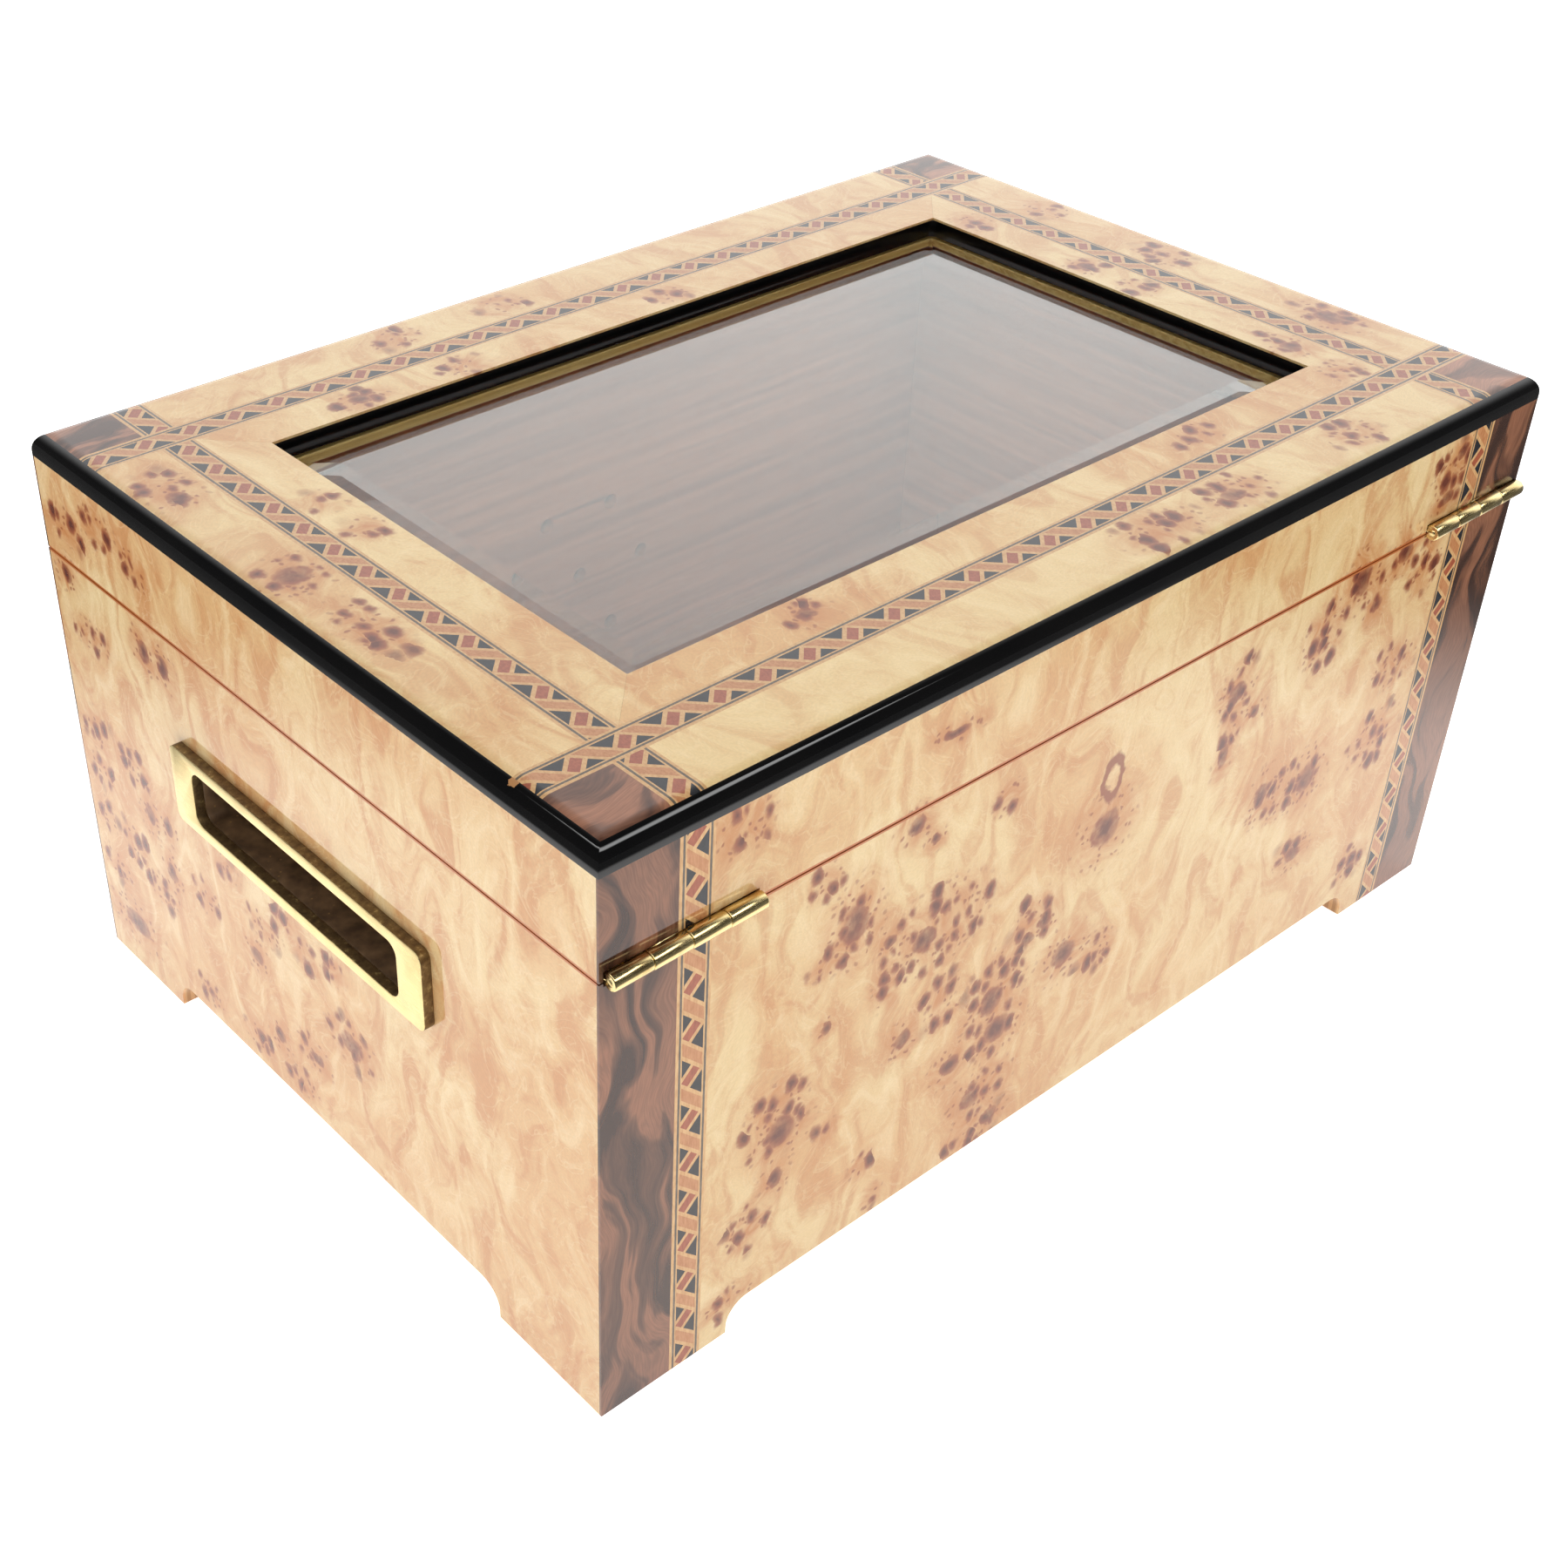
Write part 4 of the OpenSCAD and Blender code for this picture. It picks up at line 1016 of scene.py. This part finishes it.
class CHEST_OT_hinges(ChestOperator, bpy.types.Operator):
    """Finish the brass hinges with their pins and screws"""

    bl_idname = "chest.hinges"
    bl_label = "Fit the Hinges"

    def execute(self, context):
        brass = satin_brass("brass_hinge_rolled", "X", tarnish=0.6, roughness=0.2)
        pin = satin_brass("brass_pin_drawn", "X", tarnish=0.9, roughness=0.28)
        for side in ("right", "left"):
            for body in ("case", "lid"):
                node = f"{side}_hinge_{body}_leaf"
                piece(f"{side}_{body}_hinge_leaf", self.leaf(node), body, [brass], [node], smooth=40)
            rod = merged_copy(f"{side}_hinge_pin", whole=False)
            piece(f"{side}_brass_pin", rod, "case", [pin], [f"{side}_hinge_pin"], smooth=40)
        for body in ("case", "lid"):
            screws = soften(merged_copy(f"hinge_{body}_screws"), 0.06)
            piece(f"{body}_brass_screws", screws, body, [pin], [f"hinge_{body}_screws"])
        return {"FINISHED"}

    def leaf(self, node):
        """A leaf whose knuckles are tubes with rounded rims. Its own faceted ones shrink inside them."""
        low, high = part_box("right_hinge_pin")
        axis = (low + high) / 2
        barrel, bore, rim = 2.5, 1.24, 0.35
        slack, sink = 0.05, 0.15
        leaf = merged_copy(node, whole=False)
        ends = set()
        for v in leaf.verts:
            away = v.co - axis
            away.x = 0
            if away.length < (barrel + slack) * MM:
                if away.length > (barrel - slack) * MM and v.co.y > axis.y:
                    ends.add(round(v.co.x / MM, 2))
                if away.length > (barrel - 0.2) * MM:
                    v.co -= away * 0.2
        ends = sorted(ends)
        parts = [leaf]
        for start, end in zip(ends[::2], ends[1::2]):
            long = end - start
            outline = [(bore, 0), (barrel - rim, 0), (barrel - 0.1, 0.1), (barrel, rim), (barrel, long - rim),
                (barrel - 0.1, long - 0.1), (barrel - rim, long), (bore, long)]
            tube = turned_shape(outline, (0, 0, 0), steps=40)
            turn = Matrix.Rotation(math.pi / 2, 3, "Z")
            bmesh.ops.rotate(tube, cent=(0, 0, 0), matrix=turn, verts=tube.verts)
            bmesh.ops.translate(tube, vec=(start * MM, axis.y, axis.z), verts=tube.verts)
            for v in leaf.verts:
                inside = (v.co - axis).yz.length < (barrel - 0.1) * MM
                if inside and start - slack < v.co.x / MM < end + slack:
                    v.co.x += sink * MM * (1 if v.co.x / MM < (start + end) / 2 else -1)
            parts.append(tube)
        return join(parts)


class CHEST_OT_hygrometer(ChestOperator, bpy.types.Operator):
    """Finish the hygrometer on the front: bezel, lens, dial with its scale, pointer and coil"""

    bl_idname = "chest.hygrometer"
    bl_label = "Fit the Hygrometer"

    def execute(self, context):
        low, high = (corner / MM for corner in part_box("hygrometer_bezel"))
        radius = (high.x - low.x) / 2
        proud = high.y - low.y
        centre = Vector((0, -HALF_D, (low.z + high.z) / 2)) * MM
        gauge = (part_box("hygrometer_lens")[1].x) / MM + 0.3
        lens_low, lens_high = (-HALF_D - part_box("hygrometer_lens")[i].y / MM for i in (1, 0))
        brass = satin_brass("brass_bezel_spun", "X", tarnish=0.3, roughness=0.14)
        # The bezel: a flat lip over the lens, then a quarter round down to the face
        outline = [(gauge, 0.02), (gauge, lens_high), (gauge - 3, lens_high), (gauge - 3, proud - 0.5),
            (gauge - 2.5, proud)]
        bend = 3.2
        for i in range(11):
            turn = math.pi / 2 * i / 10
            outline.append((radius - bend + bend * math.sin(turn), proud - bend + bend * math.cos(turn)))
        outline.append((radius, 0.02))
        bezel = turned_shape(outline, centre)
        piece("spun_brass_bezel", bezel, "case", [brass], ["hygrometer_bezel"])
        # The lens domes a little under the bezel's lip
        glass = plate_glass("mineral_glass_lens")
        dome = [(0, lens_low + 0.02), (gauge - 0.3, lens_low + 0.02), (gauge - 0.3, lens_high - 0.3)]
        for i in range(1, 9):
            share = 1 - i / 8
            dome.append(((gauge - 3.2) * share, lens_high - 0.3 + 0.3 * (1 - share**2)))
        piece("domed_lens", turned_shape(dome, centre), "case", [glass], ["hygrometer_lens"])
        dress(printed_enamel("dial_enamel_ivory"), "hygrometer_dial")
        dress(bronzed_steel("gauge_case_bronzed"), "hygrometer_case")
        steel = blued_steel("pointer_steel_blued")
        pointer = soften(merged_copy("hygrometer_pointer"), 0.08)
        piece("blued_pointer", pointer, "pointer", [steel], ["hygrometer_pointer"])
        dress(bright_copper("copper_strip_rolled"), "hygrometer_coil")
        self.scale(centre, steel)
        return {"FINISHED"}

    def scale(self, centre, ink):
        """Printed scale from 0 to 100, over three quarters of a turn, as raised marks on the dial."""
        dial_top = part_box("hygrometer_dial")[0].y
        first, sweep = math.radians(225), math.radians(-270)
        thick = 0.00004
        bm = bmesh.new()
        for i in range(51):
            long_mark = i % 5 == 0
            inner, outer = (25.2 if long_mark else 26.8) * MM, 29.0 * MM
            made = bmesh.ops.create_cube(bm, size=1)["verts"]
            bmesh.ops.scale(bm, vec=(outer - inner, thick, (0.5 if long_mark else 0.22) * MM), verts=made)
            bmesh.ops.translate(bm, vec=((inner + outer) / 2, 0, 0), verts=made)
            turn = Matrix.Rotation(-(first + sweep * i / 50), 3, "Y")
            bmesh.ops.rotate(bm, cent=(0, 0, 0), matrix=turn, verts=made)
        for radius in (29.0, 25.0):
            rim = radius + 0.18
            ring = turned_shape([(radius, 0), (rim, 0), (rim, 0.04), (radius, 0.04)], (0, 0, 0))
            mesh = bpy.data.meshes.new("ring")
            bmesh.ops.translate(ring, vec=(0, thick / 2, 0), verts=ring.verts)
            ring.to_mesh(mesh)
            ring.free()
            bm.from_mesh(mesh)
            bpy.data.meshes.remove(mesh)
        for i in range(11):
            text = bpy.data.curves.new("number", "FONT")
            text.body = str(10 * i)
            text.size = 4.6 * MM
            text.align_x = "CENTER"
            text.align_y = "CENTER"
            text.extrude = thick / 2
            made = bpy.data.objects.new("number", text)
            bpy.context.scene.collection.objects.link(made)
            bpy.context.view_layer.update()
            mesh = bpy.data.meshes.new_from_object(made)
            angle = first + sweep * i / 10
            place = Vector((math.cos(angle), 0, math.sin(angle))) * 21 * MM
            mesh.transform(Matrix.Translation(place) @ Matrix.Rotation(math.pi / 2, 4, "X"))
            bm.from_mesh(mesh)
            bpy.data.objects.remove(made)
            bpy.data.curves.remove(text)
            bpy.data.meshes.remove(mesh)
        bmesh.ops.translate(bm, vec=(centre.x, dial_top - thick / 2, centre.z), verts=bm.verts)
        for face in bm.faces:
            face.material_index = 0
        piece("dial_scale", bm, "case", [ink])


class CHEST_OT_feet(ChestOperator, bpy.types.Operator):
    """Glue the felt strips under the feet"""

    bl_idname = "chest.feet"
    bl_label = "Felt the Feet"

    def execute(self, context):
        parts = []
        for low, high in solids("foot_pads"):
            size = high - low
            bm = bmesh.new()
            bmesh.ops.create_cube(bm, size=1)
            bmesh.ops.scale(bm, vec=size, verts=bm.verts)
            bmesh.ops.translate(bm, vec=(low + high) / 2, verts=bm.verts)
            bmesh.ops.bevel(bm, geom=bm.edges[:], offset=0.3, offset_type="OFFSET", segments=2, profile=0.5,
                affect="EDGES", material=-1)
            bmesh.ops.subdivide_edges(bm, edges=[e for e in bm.edges if e.calc_length() > 5], cuts=10,
                use_grid_fill=True)
            # Cut felt is never quite straight: its free edges wander by a tenth of a millimetre
            for v in bm.verts:
                wander = noise.noise(v.co / 2.5) * 0.12
                if abs(v.co.z - (low.z + high.z) / 2) < size.z / 2 - 0.25:
                    v.co.x -= abs(wander) * math.copysign(1, v.co.x - (low.x + high.x) / 2)
                    v.co.y -= abs(wander) * math.copysign(1, v.co.y - (low.y + high.y) / 2)
            parts.append(bm)
        felt = wool_felt("wool_felt_black")
        piece("felt_foot_strips", shrink(join(parts)), "case", [felt], ["foot_pads"])
        return {"FINISHED"}


class CHEST_OT_studio(ChestOperator, bpy.types.Operator):
    """Set the camera, the white floor, the bright sweep and the soft lights"""

    bl_idname = "chest.studio"
    bl_label = "Set the Studio"

    def execute(self, context):
        scene = context.scene
        studio = scene.chest_studio
        scene.view_settings.view_transform = "Standard"

        camera = bpy.data.cameras.new("camera")
        camera.lens = 49.75
        camera.sensor_width = 36
        camera.shift_x = 0.0888
        camera.shift_y = 0.0032
        camera.clip_start = 0.01
        stand = bpy.data.objects.new("camera", camera)
        scene.collection.objects.link(stand)
        stand.location = (0.42665, 0.42237, 0.48114)
        stand.rotation_euler = [math.radians(a) for a in (54.1452, -0.4517, 139.6585)]
        scene.camera = stand

        # Floor: white board that also glows, as it does when it is lit from far outside the view
        bm = bmesh.new()
        bmesh.ops.create_circle(bm, cap_ends=True, radius=9, segments=96)
        mesh = bpy.data.meshes.new("studio_floor")
        bm.to_mesh(mesh)
        bm.free()
        ground = bpy.data.objects.new("studio_floor", mesh)
        scene.collection.objects.link(ground)
        paper, add = material("white_sweep_paper")
        # In reflections the paper ends about half a metre from the chest
        way = add("VectorMath.LENGTH", {0: add("TexCoord").outputs["Object"]})
        bright = add("MapRange.SMOOTHSTEP", {"Value": way.outputs["Value"], "From Min": 0.3, "From Max": 0.46,
            "To Min": 1.0, "To Max": 0.06})
        fade = add("Mix.FLOAT", {0: add("LightPath").outputs["Is Glossy Ray"], 2: 1.0, 3: bright})
        shown = add("VectorMath.MULTIPLY", {0: linear("#f2f2f2")[:3], 1: fade})
        own = add("Math.MULTIPLY", {0: fade, 1: studio.floor})
        surface(add, Base_Color=shown, Roughness=0.9, Emission_Color=(1, 1, 1, 1), Emission_Strength=own)
        mesh.materials.append(paper)

        # Surroundings: a white sweep beyond the chest that dims upwards, and a darker room behind the camera
        world = bpy.data.worlds.new("studio_surroundings")
        scene.world = world
        world.use_nodes = True
        world.node_tree.nodes.clear()
        add = partial(add_node, world.node_tree)
        way = add("TexCoord")
        parts = add("SeparateXYZ", {0: way.outputs["Generated"]})
        level = add("Math.ADD", {0: parts.outputs["X"], 1: parts.outputs["Y"]})
        far = add("MapRange.SMOOTHSTEP", {"Value": level, "From Min": -0.3, "From Max": -0.75})
        height = add("MapRange.SMOOTHSTEP", {"Value": parts.outputs["Z"], "From Min": 0.5, "From Max": 0.95,
            "To Min": 1.0, "To Max": 0.08})
        shine = add("Math.MULTIPLY", {0: far, 1: height})
        seen = add("LightPath")
        room = add("MapRange", {"Value": seen.outputs["Is Glossy Ray"], "To Min": studio.room,
            "To Max": 0.4 * studio.room})
        glow = add("MapRange", {"Value": shine, "To Min": room, "To Max": studio.sweep})
        # A strip lamp behind the camera, which draws one thin line along the lid's rounded edge
        off = add("Math.ABSOLUTE", {0: add("Math.SUBTRACT", {0: parts.outputs["Z"], 1: 0.66})})
        strip = add("MapRange.SMOOTHSTEP", {"Value": off, "From Min": 0.03, "From Max": 0.10, "To Min": 6.0,
            "To Max": 0.0})
        near = add("Math.GREATER_THAN", {0: level, 1: -0.15})
        strip = add("Math.MULTIPLY", {0: strip, 1: near})
        strip = add("Math.MULTIPLY", {0: strip, 1: seen.outputs["Is Glossy Ray"]})
        glow = add("Math.ADD", {0: glow, 1: strip})
        both = add("Mix.FLOAT", {0: seen.outputs["Is Camera Ray"], 2: glow, 3: 1.0})
        back = add("Background", {"Color": (1, 1, 1, 1), "Strength": both})
        add("OutputWorld", {"Surface": back})

        # A large soft key above the camera's left shoulder and a weaker fill to its right, neither mirrored
        for name, place, size, power in (
            ("key_light", (1.3, 0.3, 1.5), 1.2, studio.key),
            ("fill_light", (0.1, 1.5, 1.2), 1.2, studio.key * 0.85),
            ("top_light", (-0.1, -0.1, 1.7), 1.0, studio.key * 0.6),
        ):
            light = bpy.data.lights.new(name, "AREA")
            light.shape = "DISK"
            light.size = size
            light.energy = power
            lamp = bpy.data.objects.new(name, light)
            scene.collection.objects.link(lamp)
            lamp.location = place
            lamp.rotation_euler = (Vector((0, 0, 0.1)) - Vector(place)).to_track_quat("-Z", "Y").to_euler()
            lamp.visible_glossy = False
        return {"FINISHED"}


class CHEST_PT_panel(bpy.types.Panel):
    """Lists what the chest is made of, and the operators that make it"""

    bl_label = "Burl Chest"
    bl_space_type = "VIEW_3D"
    bl_region_type = "UI"
    bl_category = "Burl Chest"

    def draw(self, context):
        layout = self.layout
        for group in ("chest_veneers", "chest_sizes", "chest_studio"):
            box = layout.box()
            settings = getattr(context.scene, group)
            for name in settings.__annotations__:
                box.prop(settings, name)
        for step in STEPS:
            layout.operator(step.bl_idname)


STEPS = (CHEST_OT_case, CHEST_OT_bands, CHEST_OT_lid_top, CHEST_OT_window, CHEST_OT_linings, CHEST_OT_handles,
    CHEST_OT_hinges, CHEST_OT_hygrometer, CHEST_OT_feet, CHEST_OT_studio)
CLASSES = (ChestVeneers, ChestSizes, ChestStudio, *STEPS, CHEST_PT_panel)


def register():
    for cls in CLASSES:
        bpy.utils.register_class(cls)
    bpy.types.Scene.chest_veneers = PointerProperty(type=ChestVeneers)
    bpy.types.Scene.chest_sizes = PointerProperty(type=ChestSizes)
    bpy.types.Scene.chest_studio = PointerProperty(type=ChestStudio)


def unregister():
    for name in ("chest_veneers", "chest_sizes", "chest_studio"):
        delattr(bpy.types.Scene, name)
    for cls in reversed(CLASSES):
        bpy.utils.unregister_class(cls)


def main():
    register()
    for step in (bpy.ops.chest.case, bpy.ops.chest.bands, bpy.ops.chest.lid_top, bpy.ops.chest.window,
            bpy.ops.chest.linings, bpy.ops.chest.handles, bpy.ops.chest.hinges, bpy.ops.chest.hygrometer,
            bpy.ops.chest.feet, bpy.ops.chest.studio):
        step()


if __name__ == "__main__":
    main()
